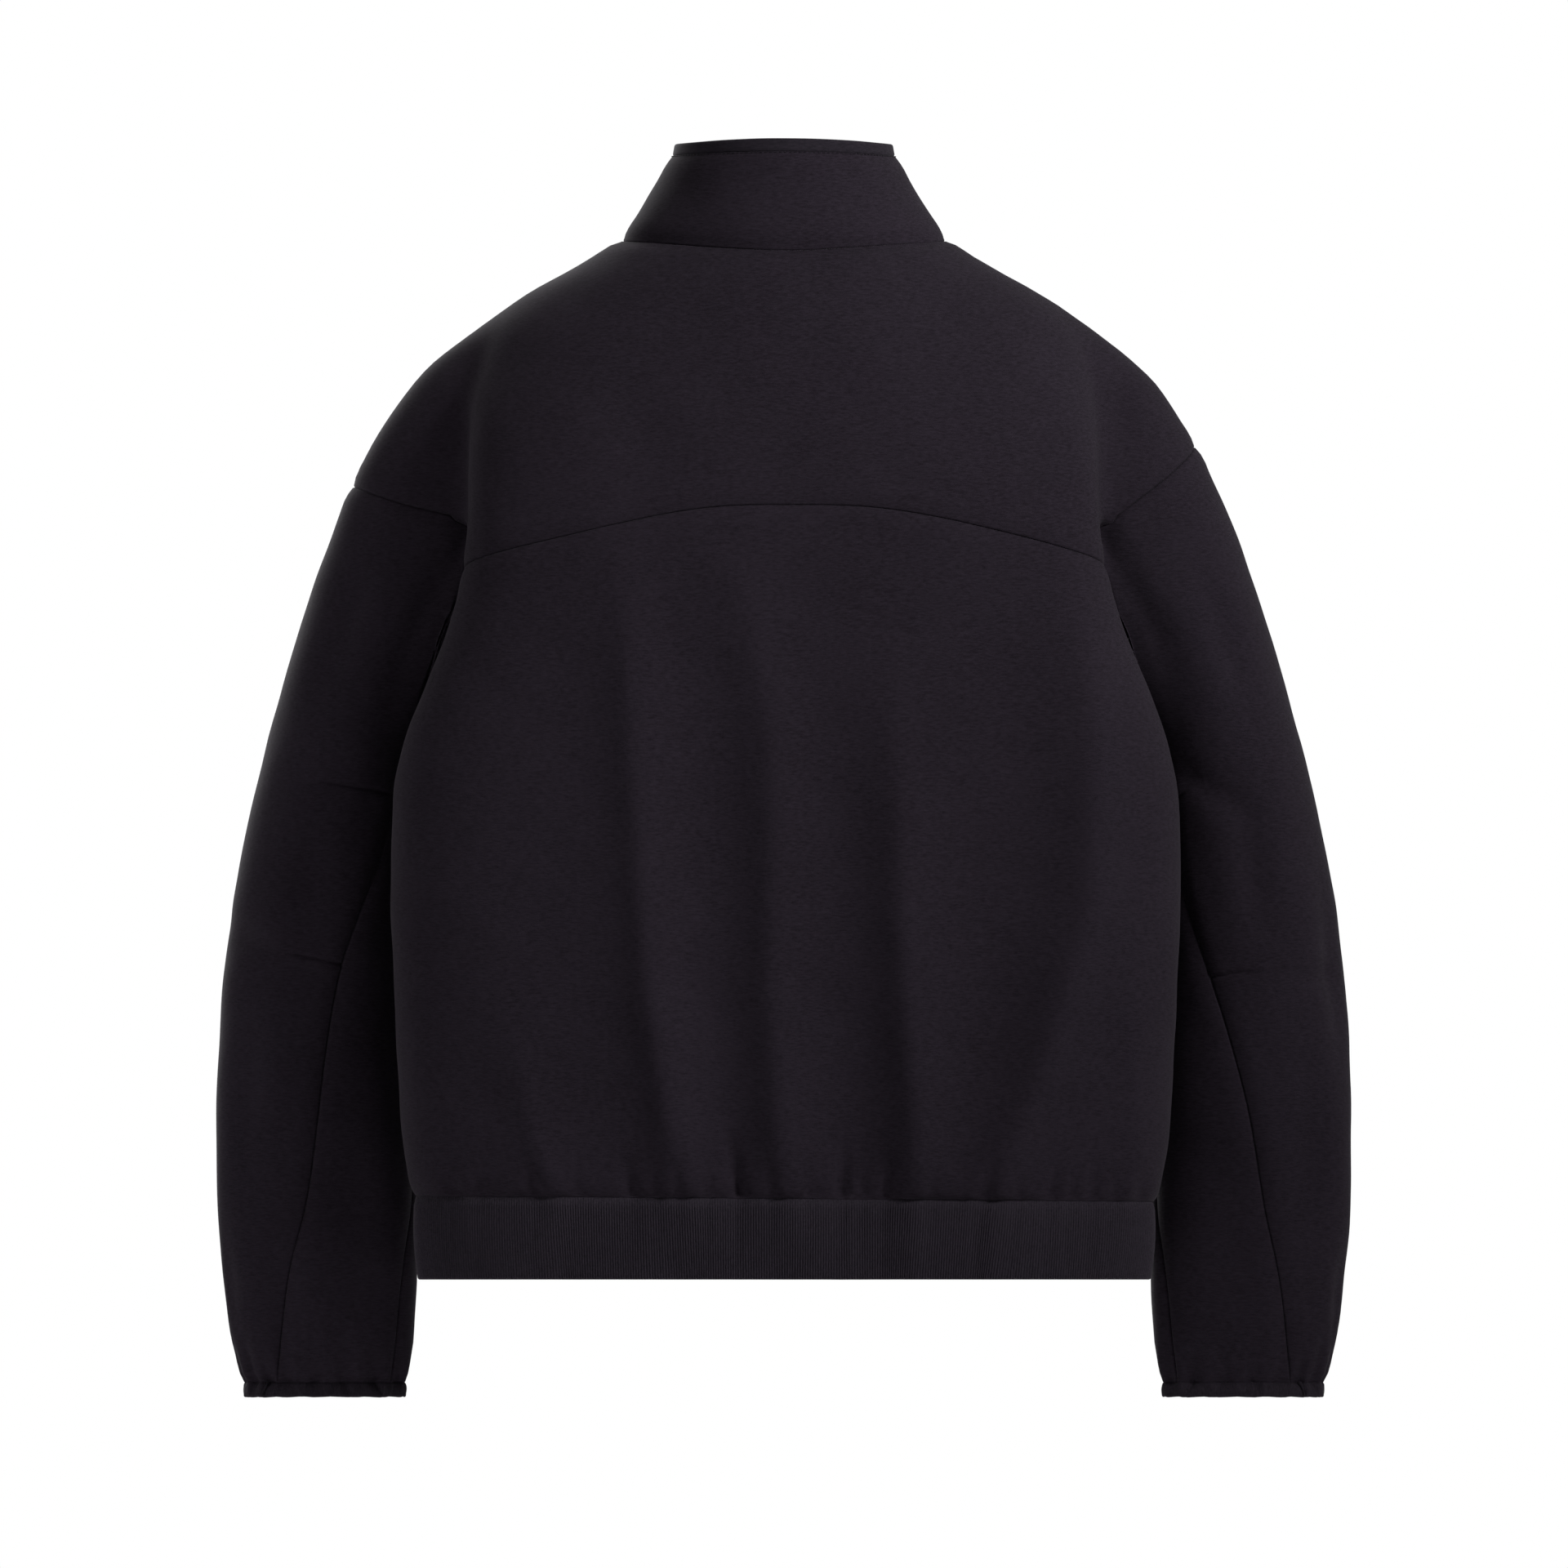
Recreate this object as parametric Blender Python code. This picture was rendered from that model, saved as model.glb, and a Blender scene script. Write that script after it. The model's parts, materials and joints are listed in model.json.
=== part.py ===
"""Stand-collar sweatshirt, filled out as worn but hollow: each cut piece is a cloth wall of its own.

Metres, +Z up. The wearer faces -Y, so the back of the garment faces +Y and the wearer's left is +X.
The origin is the middle of the neck, at the height of the neck seam's side points.

The outer face is made first, as one net of shared points: rows run round the body or the sleeve from
the wearer's left over the back, and follow each other downwards. A cut piece is a patch of that net.
It is then given its wall, inwards along the net's own normals, and drawn back a little at its edges,
so that neighbours stay a seam's gap apart.
"""

from collections import namedtuple

import bpy
import numpy as np

# Driving sizes
HEM_SEAM = -0.588
HEM_EDGE = -0.637
HEM_SEAM_TILT = 0.008
HEM_TILT_START = -0.45
HEM_TILT_RAMP = 0.12
HEM_BULGE = 0.0016
# How much closer the body's rows come together towards the hem
HEM_CROWDING = 0.12
CUFF_SEAM = -0.7005
CUFF_EDGE = -0.7085

FLEECE = 0.002
RIB = 0.0024
COLLAR_WALL = 0.0034
BAND_WALL = 0.0030
CUFF_WALL = 0.0022
SEAM_GAP = 0.00036

# Cells of the net
BACK_COLUMNS = 40
FRONT_COLUMNS = 26
BACK_CAP_COLUMNS = 6
FRONT_CAP_COLUMNS = 4
YOKE_SIDE_ROWS = 3
LOWER_SIDE_ROWS = 5
FRONT_SIDE_ROWS = YOKE_SIDE_ROWS + LOWER_SIDE_ROWS
BODY_ROWS = 14
SLEEVE_ROWS = 18
COLLAR_ROWS = 3
HEM_ROWS = 2

POLE_Y = -0.010
UNION_POWER = 16.0
LOBE_SQUARENESS = 7.0
# The body's outer face is found by halving the stretch between these distances from the upright line
NEAREST = 0.02
FARTHEST = 0.45
HALVINGS = 34
ROW_SAMPLES = 301

# The torso's level sections: an oval of two halves that meet at its widest line
TorsoSection = namedtuple("TorsoSection", "z half_width back front widest_y back_square front_square")
TORSO = (
    TorsoSection(0.020, 0.0930, 0.050, -0.058, -0.008, 2.0, 2.0),
    TorsoSection(0.000, 0.0995, 0.058, -0.062, -0.008, 2.0, 2.0),
    TorsoSection(-0.0135, 0.1220, 0.071, -0.067, -0.008, 1.95, 2.0),
    TorsoSection(-0.0285, 0.1490, 0.083, -0.072, -0.007, 1.9, 2.0),
    TorsoSection(-0.0435, 0.1710, 0.091, -0.075, -0.004, 1.95, 2.0),
    TorsoSection(-0.0585, 0.1835, 0.097, -0.079, 0.002, 2.0, 2.0),
    TorsoSection(-0.0750, 0.1870, 0.1015, -0.089, 0.014, 2.1, 2.1),
    TorsoSection(-0.0950, 0.1900, 0.106, -0.098, 0.030, 2.25, 2.3),
    TorsoSection(-0.1200, 0.1915, 0.111, -0.107, 0.046, 2.4, 2.5),
    TorsoSection(-0.1500, 0.1925, 0.115, -0.114, 0.055, 2.5, 2.65),
    TorsoSection(-0.1800, 0.1940, 0.1175, -0.119, 0.058, 2.55, 2.65),
    TorsoSection(-0.2080, 0.1975, 0.119, -0.122, 0.057, 2.55, 2.5),
    TorsoSection(-0.2450, 0.2080, 0.120, -0.125, 0.054, 2.55, 2.25),
    TorsoSection(-0.2830, 0.2230, 0.120, -0.1265, 0.050, 2.6, 2.05),
    TorsoSection(-0.3110, 0.2330, 0.119, -0.1275, 0.047, 2.6, 1.95),
    TorsoSection(-0.3400, 0.2390, 0.118, -0.1285, 0.045, 2.6, 1.95),
    TorsoSection(-0.4000, 0.2405, 0.116, -0.1285, 0.043, 2.6, 1.95),
    TorsoSection(-0.4800, 0.2370, 0.113, -0.1265, 0.041, 2.6, 2.0),
    TorsoSection(-0.5400, 0.2340, 0.111, -0.1235, 0.040, 2.6, 2.0),
    TorsoSection(-0.5720, 0.2300, 0.1085, -0.1200, 0.039, 2.6, 2.0),
    TorsoSection(-0.5880, 0.2265, 0.106, -0.1170, 0.038, 2.6, 2.0),
    TorsoSection(-0.6370, 0.2240, 0.104, -0.1150, 0.037, 2.6, 2.0),
)

# The shoulders' lobes, both in one section, which join the torso above the armpits
LobeSection = namedtuple("LobeSection", "z reach middle_y back_depth front_depth")
LOBE = (
    LobeSection(0.020, 0.050, -0.010, 0.016, 0.016),
    LobeSection(-0.0285, 0.128, -0.010, 0.022, 0.022),
    LobeSection(-0.0435, 0.1655, -0.010, 0.030, 0.030),
    LobeSection(-0.0585, 0.1910, -0.010, 0.037, 0.038),
    LobeSection(-0.0735, 0.2120, -0.011, 0.043, 0.045),
    LobeSection(-0.0885, 0.2275, -0.012, 0.048, 0.050),
    LobeSection(-0.1035, 0.2380, -0.014, 0.051, 0.053),
    LobeSection(-0.1185, 0.2480, -0.015, 0.053, 0.055),
    LobeSection(-0.1510, 0.2645, -0.018, 0.056, 0.058),
    LobeSection(-0.1695, 0.2710, -0.019, 0.056, 0.059),
    LobeSection(-0.1800, 0.2740, -0.020, 0.030, 0.060),
    LobeSection(-0.2200, 0.2600, -0.022, 0.020, 0.060),
    LobeSection(-0.2450, 0.1900, -0.024, 0.016, 0.050),
    LobeSection(-0.2650, 0.1400, -0.026, 0.014, 0.030),
)

# The sleeve's level sections, as ovals. The outer reach is the garment's outline from the back
SleeveSection = namedtuple("SleeveSection", "z outer inner middle_y depth")
SLEEVE = (
    SleeveSection(-0.1250, 0.2520, 0.166, -0.016, 0.054),
    SleeveSection(-0.1510, 0.2645, 0.172, -0.019, 0.057),
    SleeveSection(-0.1785, 0.2760, 0.180, -0.025, 0.060),
    SleeveSection(-0.2085, 0.2870, 0.188, -0.033, 0.062),
    SleeveSection(-0.2385, 0.2965, 0.197, -0.042, 0.063),
    SleeveSection(-0.2685, 0.3055, 0.205, -0.049, 0.063),
    SleeveSection(-0.2985, 0.3140, 0.212, -0.054, 0.062),
    SleeveSection(-0.3435, 0.3250, 0.218, -0.059, 0.060),
    SleeveSection(-0.3885, 0.3345, 0.222, -0.062, 0.057),
    SleeveSection(-0.4335, 0.3410, 0.224, -0.064, 0.053),
    SleeveSection(-0.4785, 0.3455, 0.225, -0.065, 0.049),
    SleeveSection(-0.5385, 0.3475, 0.225, -0.064, 0.043),
    SleeveSection(-0.5835, 0.3470, 0.225, -0.066, 0.037),
    SleeveSection(-0.6285, 0.3440, 0.2245, -0.067, 0.034),
    SleeveSection(-0.6585, 0.3407, 0.2257, -0.068, 0.030),
    SleeveSection(-0.6885, 0.3357, 0.2283, -0.068, 0.0245),
    SleeveSection(-0.7005, 0.3318, 0.2298, -0.068, 0.0210),
    SleeveSection(-0.7085, 0.3305, 0.2312, -0.068, 0.0200),
)

# The armhole, in stretches: from the shoulder seam's end over the top and down its back to the armpit,
# and down its front. The angle is about the upright line at POLE_Y, from the wearer's left to the back
ArmholePoint = namedtuple("ArmholePoint", "angle z")
ARMHOLE_BACK_CAP = {
    "left": (
        ArmholePoint(-6.0, -0.1525),
        ArmholePoint(-2.0, -0.1510),
        ArmholePoint(3.2, -0.1530),
        ArmholePoint(6.0, -0.1570),
        ArmholePoint(9.2, -0.1630),
        ArmholePoint(12.3, -0.1695),
    ),
    "right": (
        ArmholePoint(-6.0, -0.1290),
        ArmholePoint(-2.0, -0.1260),
        ArmholePoint(3.6, -0.1310),
        ArmholePoint(6.8, -0.1400),
        ArmholePoint(9.8, -0.1530),
        ArmholePoint(12.3, -0.1695),
    ),
}
ARMHOLE_YOKE_SIDE = (
    ArmholePoint(12.3, -0.1695),
    ArmholePoint(12.7, -0.1860),
    ArmholePoint(12.3, -0.2050),
)
ARMHOLE_LOWER_SIDE = (
    ArmholePoint(12.3, -0.205),
    ArmholePoint(11.0, -0.222),
    ArmholePoint(8.0, -0.243),
    ArmholePoint(3.5, -0.258),
    ArmholePoint(-3.0, -0.268),
)
ARMHOLE_FRONT_CAP = {
    "left": (
        ArmholePoint(-6.0, -0.1525),
        ArmholePoint(-10.0, -0.1570),
        ArmholePoint(-13.5, -0.1630),
        ArmholePoint(-17.0, -0.1730),
    ),
    "right": (
        ArmholePoint(-6.0, -0.1290),
        ArmholePoint(-10.0, -0.1410),
        ArmholePoint(-13.5, -0.1550),
        ArmholePoint(-17.0, -0.1730),
    ),
}
ARMHOLE_FRONT_SIDE = (
    ArmholePoint(-17.0, -0.173),
    ArmholePoint(-20.0, -0.189),
    ArmholePoint(-21.5, -0.210),
    ArmholePoint(-19.0, -0.235),
    ArmholePoint(-12.0, -0.257),
    ArmholePoint(-3.0, -0.268),
)

# The rows between the neck and the armholes' tops. The ridge and the seam drop by their shares of
# the way to the armhole, and the cap is the stretch of a row from the seam to its cap angle
ShoulderRow = namedtuple(
    "ShoulderRow", "seam_angle cap_angle ridge_share seam_share back_middle front_middle"
)
SHOULDER = (
    ShoulderRow(-30.0, -6.0, 0.00, 0.00, -0.0058, -0.0620),
    ShoulderRow(-27.0, 0.0, 0.11, 0.14, -0.0200, -0.0745),
    ShoulderRow(-24.0, 4.0, 0.23, 0.29, -0.0360, -0.0875),
    ShoulderRow(-20.5, 7.0, 0.36, 0.44, -0.0530, -0.1010),
    ShoulderRow(-16.5, 9.3, 0.51, 0.59, -0.0700, -0.1150),
    ShoulderRow(-12.5, 11.0, 0.67, 0.73, -0.0870, -0.1295),
    ShoulderRow(-9.0, 12.0, 0.84, 0.87, -0.1040, -0.1445),
)
YOKE_ARMHOLE_MIDDLE = -0.1210
FRONT_ARMHOLE_MIDDLE = -0.1600
NECK_SEAM_DROP = -0.005
# Over 1, the front neckline is more of a U
NECKLINE_POWER = 1.7
FRONT_CAP_ANGLE = 10.0
ARMHOLE_SMOOTHING = 60
ARMHOLE_SAMPLES = 240
YOKE_SEAM_MIDDLE = -0.1625
ARMPIT_BACK_MIDDLE = -0.2500
ARMPIT_FRONT_MIDDLE = -0.2720

# Seams that run down a sleeve: the one at the elbow by its distance from the body's middle, seen from
# the back, and the one beside the body by its angle round the sleeve, from outside over the back
ElbowPoint = namedtuple("ElbowPoint", "z x")
ELBOW_SEAM = {
    "left": (
        ElbowPoint(-0.235, 0.218),
        ElbowPoint(-0.300, 0.228),
        ElbowPoint(-0.363, 0.241),
        ElbowPoint(-0.409, 0.258),
        ElbowPoint(-0.443, 0.270),
        ElbowPoint(-0.482, 0.278),
        ElbowPoint(-0.588, 0.292),
        ElbowPoint(-0.640, 0.305),
        ElbowPoint(-0.709, 0.3115),
    ),
    "right": (
        ElbowPoint(-0.235, 0.219),
        ElbowPoint(-0.330, 0.232),
        ElbowPoint(-0.399, 0.243),
        ElbowPoint(-0.428, 0.252),
        ElbowPoint(-0.475, 0.268),
        ElbowPoint(-0.538, 0.285),
        ElbowPoint(-0.593, 0.294),
        ElbowPoint(-0.640, 0.304),
        ElbowPoint(-0.709, 0.3115),
    ),
}
InnerPoint = namedtuple("InnerPoint", "z angle")
INNER_SEAM = (
    InnerPoint(-0.268, 190.0),
    InnerPoint(-0.450, 182.0),
    InnerPoint(-0.560, 172.0),
    InnerPoint(-0.600, 162.0),
    InnerPoint(-0.640, 148.0),
    InnerPoint(-0.709, 144.0),
)
UNDER_SLEEVE_COLUMNS = 4
# The sleeve's rows start from the armhole's own heights and are level from this row on
FIRST_LEVEL_ROW = 6
HIGHEST_LEVEL = -0.292
ARMHOLE_FALLOFF = 0.110
# How far the sleeve stands off the torso, as a share of its half width, and how soon below the armhole
TORSO_CLEARANCE = 0.022
CLEARANCE_RAMP = 0.020

# The collar's rings above the neck seam, by their share of its height, and the height of its rim
CollarRing = namedtuple("CollarRing", "share half_width back front")
COLLAR = (
    CollarRing(0.00, 0.0995, 0.0590, -0.0800),
    CollarRing(0.16, 0.0935, 0.0590, -0.0815),
    CollarRing(0.36, 0.0860, 0.0570, -0.0825),
    CollarRing(0.62, 0.0768, 0.0530, -0.0835),
    CollarRing(0.88, 0.0692, 0.0490, -0.0840),
    CollarRing(1.00, 0.0668, 0.0475, -0.0840),
)
COLLAR_BAND_SHARE = 0.89
COLLAR_MIDDLE_Y = -0.016
RIM_BACK = 0.0620
RIM_SIDE = 0.0585
RIM_FRONT = 0.0200

# Folds of the body: a path of (x, z) down the panel, its depth (a ridge is below zero) and half width
Fold = namedtuple("Fold", "side depth half_width path")
BODY_FOLDS = (
    Fold(
        "back",
        0.0050,
        0.020,
        ((0.110, -0.215), (0.104, -0.34), (0.099, -0.43), (0.088, -0.54), (0.070, -0.59)),
    ),
    Fold("back", 0.0045, 0.019, ((0.028, -0.220), (0.020, -0.34), (0.019, -0.48), (0.014, -0.59))),
    Fold("back", 0.0045, 0.018, ((-0.062, -0.290), (-0.057, -0.43), (-0.064, -0.50), (-0.075, -0.59))),
    Fold(
        "back",
        0.0075,
        0.022,
        ((-0.165, -0.220), (-0.173, -0.32), (-0.165, -0.43), (-0.134, -0.53), (-0.120, -0.59)),
    ),
    Fold("back", 0.0050, 0.015, ((0.172, -0.470), (0.166, -0.53), (0.152, -0.59))),
    Fold("back", 0.0035, 0.014, ((-0.206, -0.440), (-0.206, -0.53), (-0.198, -0.59))),
    Fold("back", -0.0035, 0.020, ((0.066, -0.250), (0.064, -0.43), (0.050, -0.57))),
    Fold("back", -0.0035, 0.020, ((-0.018, -0.250), (-0.018, -0.43), (-0.028, -0.57))),
    Fold("back", -0.0035, 0.022, ((-0.112, -0.300), (-0.106, -0.43), (-0.098, -0.57))),
    Fold("front", 0.0050, 0.020, ((0.120, -0.220), (0.108, -0.36), (0.096, -0.59))),
    Fold("front", 0.0045, 0.018, ((0.036, -0.310), (0.030, -0.45), (0.044, -0.59))),
    Fold("front", 0.0055, 0.020, ((-0.134, -0.215), (-0.118, -0.35), (-0.084, -0.48), (-0.060, -0.59))),
    Fold("front", 0.0040, 0.016, ((-0.020, -0.380), (-0.024, -0.50), (-0.010, -0.59))),
    Fold("front", 0.0045, 0.016, ((-0.160, -0.430), (-0.150, -0.59))),
    Fold("front", 0.0040, 0.015, ((0.158, -0.450), (0.150, -0.59))),
)
FOLD_START = 0.05
FOLD_END = 0.03
FOLD_SIDE_COLUMNS = 4.0

# Short puckers that the tighter hem draws into each panel: place across, depth, length up the panel
Pucker = namedtuple("Pucker", "x depth length")
BACK_PUCKERS = (
    Pucker(0.203, 0.0022, 0.034),
    Pucker(0.183, 0.0018, 0.026),
    Pucker(0.152, 0.0030, 0.046),
    Pucker(0.122, 0.0016, 0.024),
    Pucker(0.091, 0.0024, 0.036),
    Pucker(0.062, 0.0026, 0.030),
    Pucker(0.028, 0.0034, 0.050),
    Pucker(0.006, 0.0022, 0.034),
    Pucker(-0.016, 0.0020, 0.028),
    Pucker(-0.036, 0.0030, 0.048),
    Pucker(-0.066, 0.0022, 0.030),
    Pucker(-0.090, 0.0018, 0.026),
    Pucker(-0.120, 0.0032, 0.044),
    Pucker(-0.148, 0.0016, 0.024),
    Pucker(-0.170, 0.0024, 0.030),
    Pucker(-0.196, 0.0026, 0.038),
    Pucker(-0.216, 0.0018, 0.028),
)
FRONT_PUCKERS = (
    Pucker(0.186, 0.0022, 0.030),
    Pucker(0.128, 0.0028, 0.044),
    Pucker(0.070, 0.0020, 0.028),
    Pucker(0.040, 0.0030, 0.046),
    Pucker(-0.006, 0.0024, 0.034),
    Pucker(-0.056, 0.0030, 0.048),
    Pucker(-0.104, 0.0022, 0.030),
    Pucker(-0.150, 0.0028, 0.042),
    Pucker(-0.190, 0.0020, 0.028),
)
PUCKERS = {"back": BACK_PUCKERS, "front": FRONT_PUCKERS}
PUCKER_HALF_WIDTH = 0.0085
PUCKER_START = 0.008

# Dents and ridges of a sleeve: where round it (degrees from outside, over the back), height and size
Dent = namedtuple("Dent", "side angle z depth half_round half_height")
SLEEVE_DENTS = (
    Dent("left", 58.0, -0.334, 0.0040, 0.030, 0.010),
    Dent("left", 35.0, -0.440, 0.0040, 0.030, 0.008),
    Dent("left", 75.0, -0.395, 0.0035, 0.014, 0.040),
    Dent("left", 50.0, -0.530, 0.0030, 0.012, 0.060),
    Dent("left", 110.0, -0.600, 0.0030, 0.016, 0.050),
    Dent("left", 60.0, -0.240, 0.0040, 0.014, 0.045),
    Dent("left", 20.0, -0.640, 0.0025, 0.012, 0.030),
    Dent("left", 270.0, -0.400, 0.0040, 0.030, 0.012),
    Dent("left", 240.0, -0.450, 0.0040, 0.032, 0.010),
    Dent("left", 290.0, -0.560, 0.0030, 0.014, 0.060),
    Dent("left", 255.0, -0.340, 0.0035, 0.026, 0.011),
    Dent("left", 300.0, -0.250, 0.0035, 0.014, 0.045),
    Dent("right", 80.0, -0.385, 0.0040, 0.014, 0.045),
    Dent("right", 45.0, -0.452, 0.0038, 0.030, 0.008),
    Dent("right", 28.0, -0.450, 0.0035, 0.012, 0.055),
    Dent("right", 62.0, -0.250, 0.0040, 0.014, 0.045),
    Dent("right", 55.0, -0.560, 0.0030, 0.012, 0.055),
    Dent("right", 100.0, -0.610, 0.0030, 0.016, 0.045),
    Dent("right", 15.0, -0.650, 0.0030, 0.010, 0.030),
    Dent("right", 265.0, -0.390, 0.0040, 0.030, 0.012),
    Dent("right", 245.0, -0.445, 0.0040, 0.032, 0.010),
    Dent("right", 285.0, -0.550, 0.0030, 0.014, 0.060),
    Dent("right", 300.0, -0.255, 0.0035, 0.014, 0.045),
)

# Finish: colour, roughness
Finish = namedtuple("Finish", "name colour roughness")
FLEECE_FINISH = Finish("brushed_fleece", (0.013, 0.010, 0.014, 1.0), 0.92)
RIB_FINISH = Finish("ribbed_knit", (0.011, 0.009, 0.013, 1.0), 0.90)
BAND_FINISH = Finish("collar_band", (0.014, 0.011, 0.015, 1.0), 0.85)
CUFF_FINISH = Finish("elastic_binding", (0.012, 0.010, 0.014, 1.0), 0.85)


def read(table, column, z):
    """A table's column at heights z, on a smooth curve through its rows."""
    heights = np.array([row.z for row in table])
    values = np.array([getattr(row, column) for row in table])
    order = np.argsort(heights)
    heights, values = heights[order], values[order]
    rises = np.diff(values) / np.diff(heights)
    before, after = rises[:-1], rises[1:]
    same_way = before * after > 0
    shared = np.where(same_way, 2 * before * after / np.where(same_way, before + after, 1.0), 0.0)
    slopes = np.concatenate([rises[:1], shared, rises[-1:]])
    z = np.clip(z, heights[0], heights[-1])
    cell = np.clip(np.searchsorted(heights, z) - 1, 0, len(heights) - 2)
    step = heights[cell + 1] - heights[cell]
    t = (z - heights[cell]) / step
    start, end = values[cell], values[cell + 1]
    return (
        start * (1 + 2 * t) * (1 - t) ** 2
        + end * t**2 * (3 - 2 * t)
        + step * slopes[cell] * t * (1 - t) ** 2
        - step * slopes[cell + 1] * t**2 * (1 - t)
    )


def resample(points, count, keys=None):
    """Count + 1 points at equal steps along a curve, and what its keys are there."""
    steps = np.linalg.norm(np.diff(points, axis=0), axis=1)
    travelled = np.concatenate([[0.0], np.cumsum(steps)])
    at = np.linspace(0.0, travelled[-1], count + 1)
    values = points if keys is None else keys
    return np.stack([np.interp(at, travelled, column) for column in values.T], axis=1)


def torso_gauge(x, y, z):
    """How far out (x, y) is on the torso's section at z: 1 is on it."""
    half = read(TORSO, "half_width", z)
    middle = read(TORSO, "widest_y", z)
    behind = y >= middle
    depth = np.where(behind, read(TORSO, "back", z) - middle, middle - read(TORSO, "front", z))
    square = np.where(behind, read(TORSO, "back_square", z), read(TORSO, "front_square", z))
    across = np.abs(x / half) ** square
    along = np.abs((y - middle) / depth) ** square
    return (across + along) ** (1 / square)


def lobe_gauge(x, y, z):
    """How far out (x, y) is on the shoulder lobes' section at z: 1 is on it."""
    middle = read(LOBE, "middle_y", z)
    depth = np.where(y >= middle, read(LOBE, "back_depth", z), read(LOBE, "front_depth", z))
    across = np.abs(x / read(LOBE, "reach", z)) ** LOBE_SQUARENESS
    return np.sqrt(across + ((y - middle) / depth) ** 2)


def body_points(angle, z):
    """Points of the body's smooth outer face, at angles in degrees and heights z."""
    angle = np.radians(np.asarray(angle, float))
    z = np.asarray(z, float) + 0 * angle
    near, far = np.full(angle.shape, NEAREST), np.full(angle.shape, FARTHEST)
    for _ in range(HALVINGS):
        middle = (near + far) / 2
        x, y = middle * np.cos(angle), POLE_Y + middle * np.sin(angle)
        torso, lobe = torso_gauge(x, y, z), lobe_gauge(x, y, z)
        inside = torso**-UNION_POWER + lobe**-UNION_POWER > 1
        near, far = np.where(inside, middle, near), np.where(inside, far, middle)
    return np.stack([near * np.cos(angle), POLE_Y + near * np.sin(angle), z], axis=-1)


def armhole(points, count, side):
    """A stretch of an armhole as count + 1 samples (angle, z), evenly spaced on the body."""
    keys = np.array(points, float)
    dense = np.linspace(0, len(keys) - 1, ARMHOLE_SAMPLES)
    keys = np.stack([np.interp(dense, np.arange(len(keys)), column) for column in keys.T], axis=1)
    for _ in range(ARMHOLE_SMOOTHING):
        keys[1:-1] = (keys[:-2] + 2 * keys[1:-1] + keys[2:]) / 4
    return for_side(resample(body_points(keys[:, 0], keys[:, 1]), count, keys), side)


def for_side(keys, side):
    """Samples (angle, z) of the wearer's left, on the side asked for."""
    return keys if side == "left" else np.stack([180.0 - keys[:, 0], keys[:, 1]], axis=1)


def shoulder_seam(side):
    """The shoulder seam's samples (angle, z), from the neck to the row above the armhole."""
    drop = ARMHOLE_BACK_CAP[side][0].z - NECK_SEAM_DROP
    keys = [(row.seam_angle, NECK_SEAM_DROP + drop * row.seam_share) for row in SHOULDER]
    return for_side(np.array(keys), side)


def heights_over_back(angle, left, right, middle, ridges=None):
    """Heights of a row over the back, between two edge samples; ridges are those over the shoulders."""
    turned = np.radians(angle)
    on_left = np.cos(turned) >= 0
    across = np.cos(turned) ** 2
    edge_angle = np.radians(np.where(on_left, left[0], right[0]))
    edge_height = np.where(on_left, left[1], right[1])
    if ridges is None:
        return middle + (edge_height - middle) * across / np.cos(edge_angle) ** 2
    ridge = np.where(on_left, *ridges)
    drop = (np.sin(turned) / np.sin(edge_angle)) ** 2
    before = ridge + (edge_height - ridge) * drop
    return np.where(np.sin(turned) < 0, before, middle + (ridge - middle) * across)


def heights_over_front(angle, left, right, middle, power=1.0):
    """Heights of a row over the front, between two edge samples."""
    turned = np.radians(angle)
    on_left = np.cos(turned) >= 0
    edge_angle = np.radians(np.where(on_left, left[0], right[0]))
    edge_height = np.where(on_left, left[1], right[1])
    across = (np.cos(turned) ** 2 / np.cos(edge_angle) ** 2) ** power
    return middle + (edge_height - middle) * across


def row_stretch(first, last, count, heights):
    """A stretch of a row between two angles, as count + 1 evenly spaced points."""
    angle = np.linspace(first, last, ROW_SAMPLES)
    return resample(body_points(angle, heights(angle)), count)


def back_row(left, right, middle):
    """A row over the back between two edge samples."""

    def heights(angle):
        return heights_over_back(angle, left, right, middle)

    return row_stretch(left[0], right[0], BACK_COLUMNS, heights)


def front_row(left, right, middle):
    """A row over the front between two edge samples."""

    def heights(angle):
        return heights_over_front(angle, left, right, middle)

    return row_stretch(right[0], left[0] + 360.0, FRONT_COLUMNS, heights)


def shoulder_row(number):
    """A row above the armholes: its stretch over the back and the one over the front."""
    row = SHOULDER[number]
    left, right = shoulder_seam("left")[number], shoulder_seam("right")[number]
    ridges = tuple(ARMHOLE_BACK_CAP[side][1].z * row.ridge_share for side in ("left", "right"))
    power = NECKLINE_POWER + (1.0 - NECKLINE_POWER) * number / len(SHOULDER)

    def over_back(angle):
        return heights_over_back(angle, left, right, row.back_middle, ridges)

    def over_front(angle):
        return heights_over_front(angle, left, right, row.front_middle, power)

    back = joined(
        row_stretch(left[0], row.cap_angle, BACK_CAP_COLUMNS, over_back),
        row_stretch(row.cap_angle, 180.0 - row.cap_angle, BACK_COLUMNS, over_back),
        row_stretch(180.0 - row.cap_angle, right[0], BACK_CAP_COLUMNS, over_back),
    )
    start, end = right[0] + FRONT_CAP_ANGLE, left[0] + 360.0 - FRONT_CAP_ANGLE
    front = joined(
        row_stretch(right[0], start, FRONT_CAP_COLUMNS, over_front),
        row_stretch(start, end, FRONT_COLUMNS, over_front),
        row_stretch(end, left[0] + 360.0, FRONT_CAP_COLUMNS, over_front),
    )
    return back, front


def joined(*stretches):
    """Stretches of one row as one, each starting where the last one ends."""
    return np.concatenate([stretches[0], *(stretch[1:] for stretch in stretches[1:])])


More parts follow.
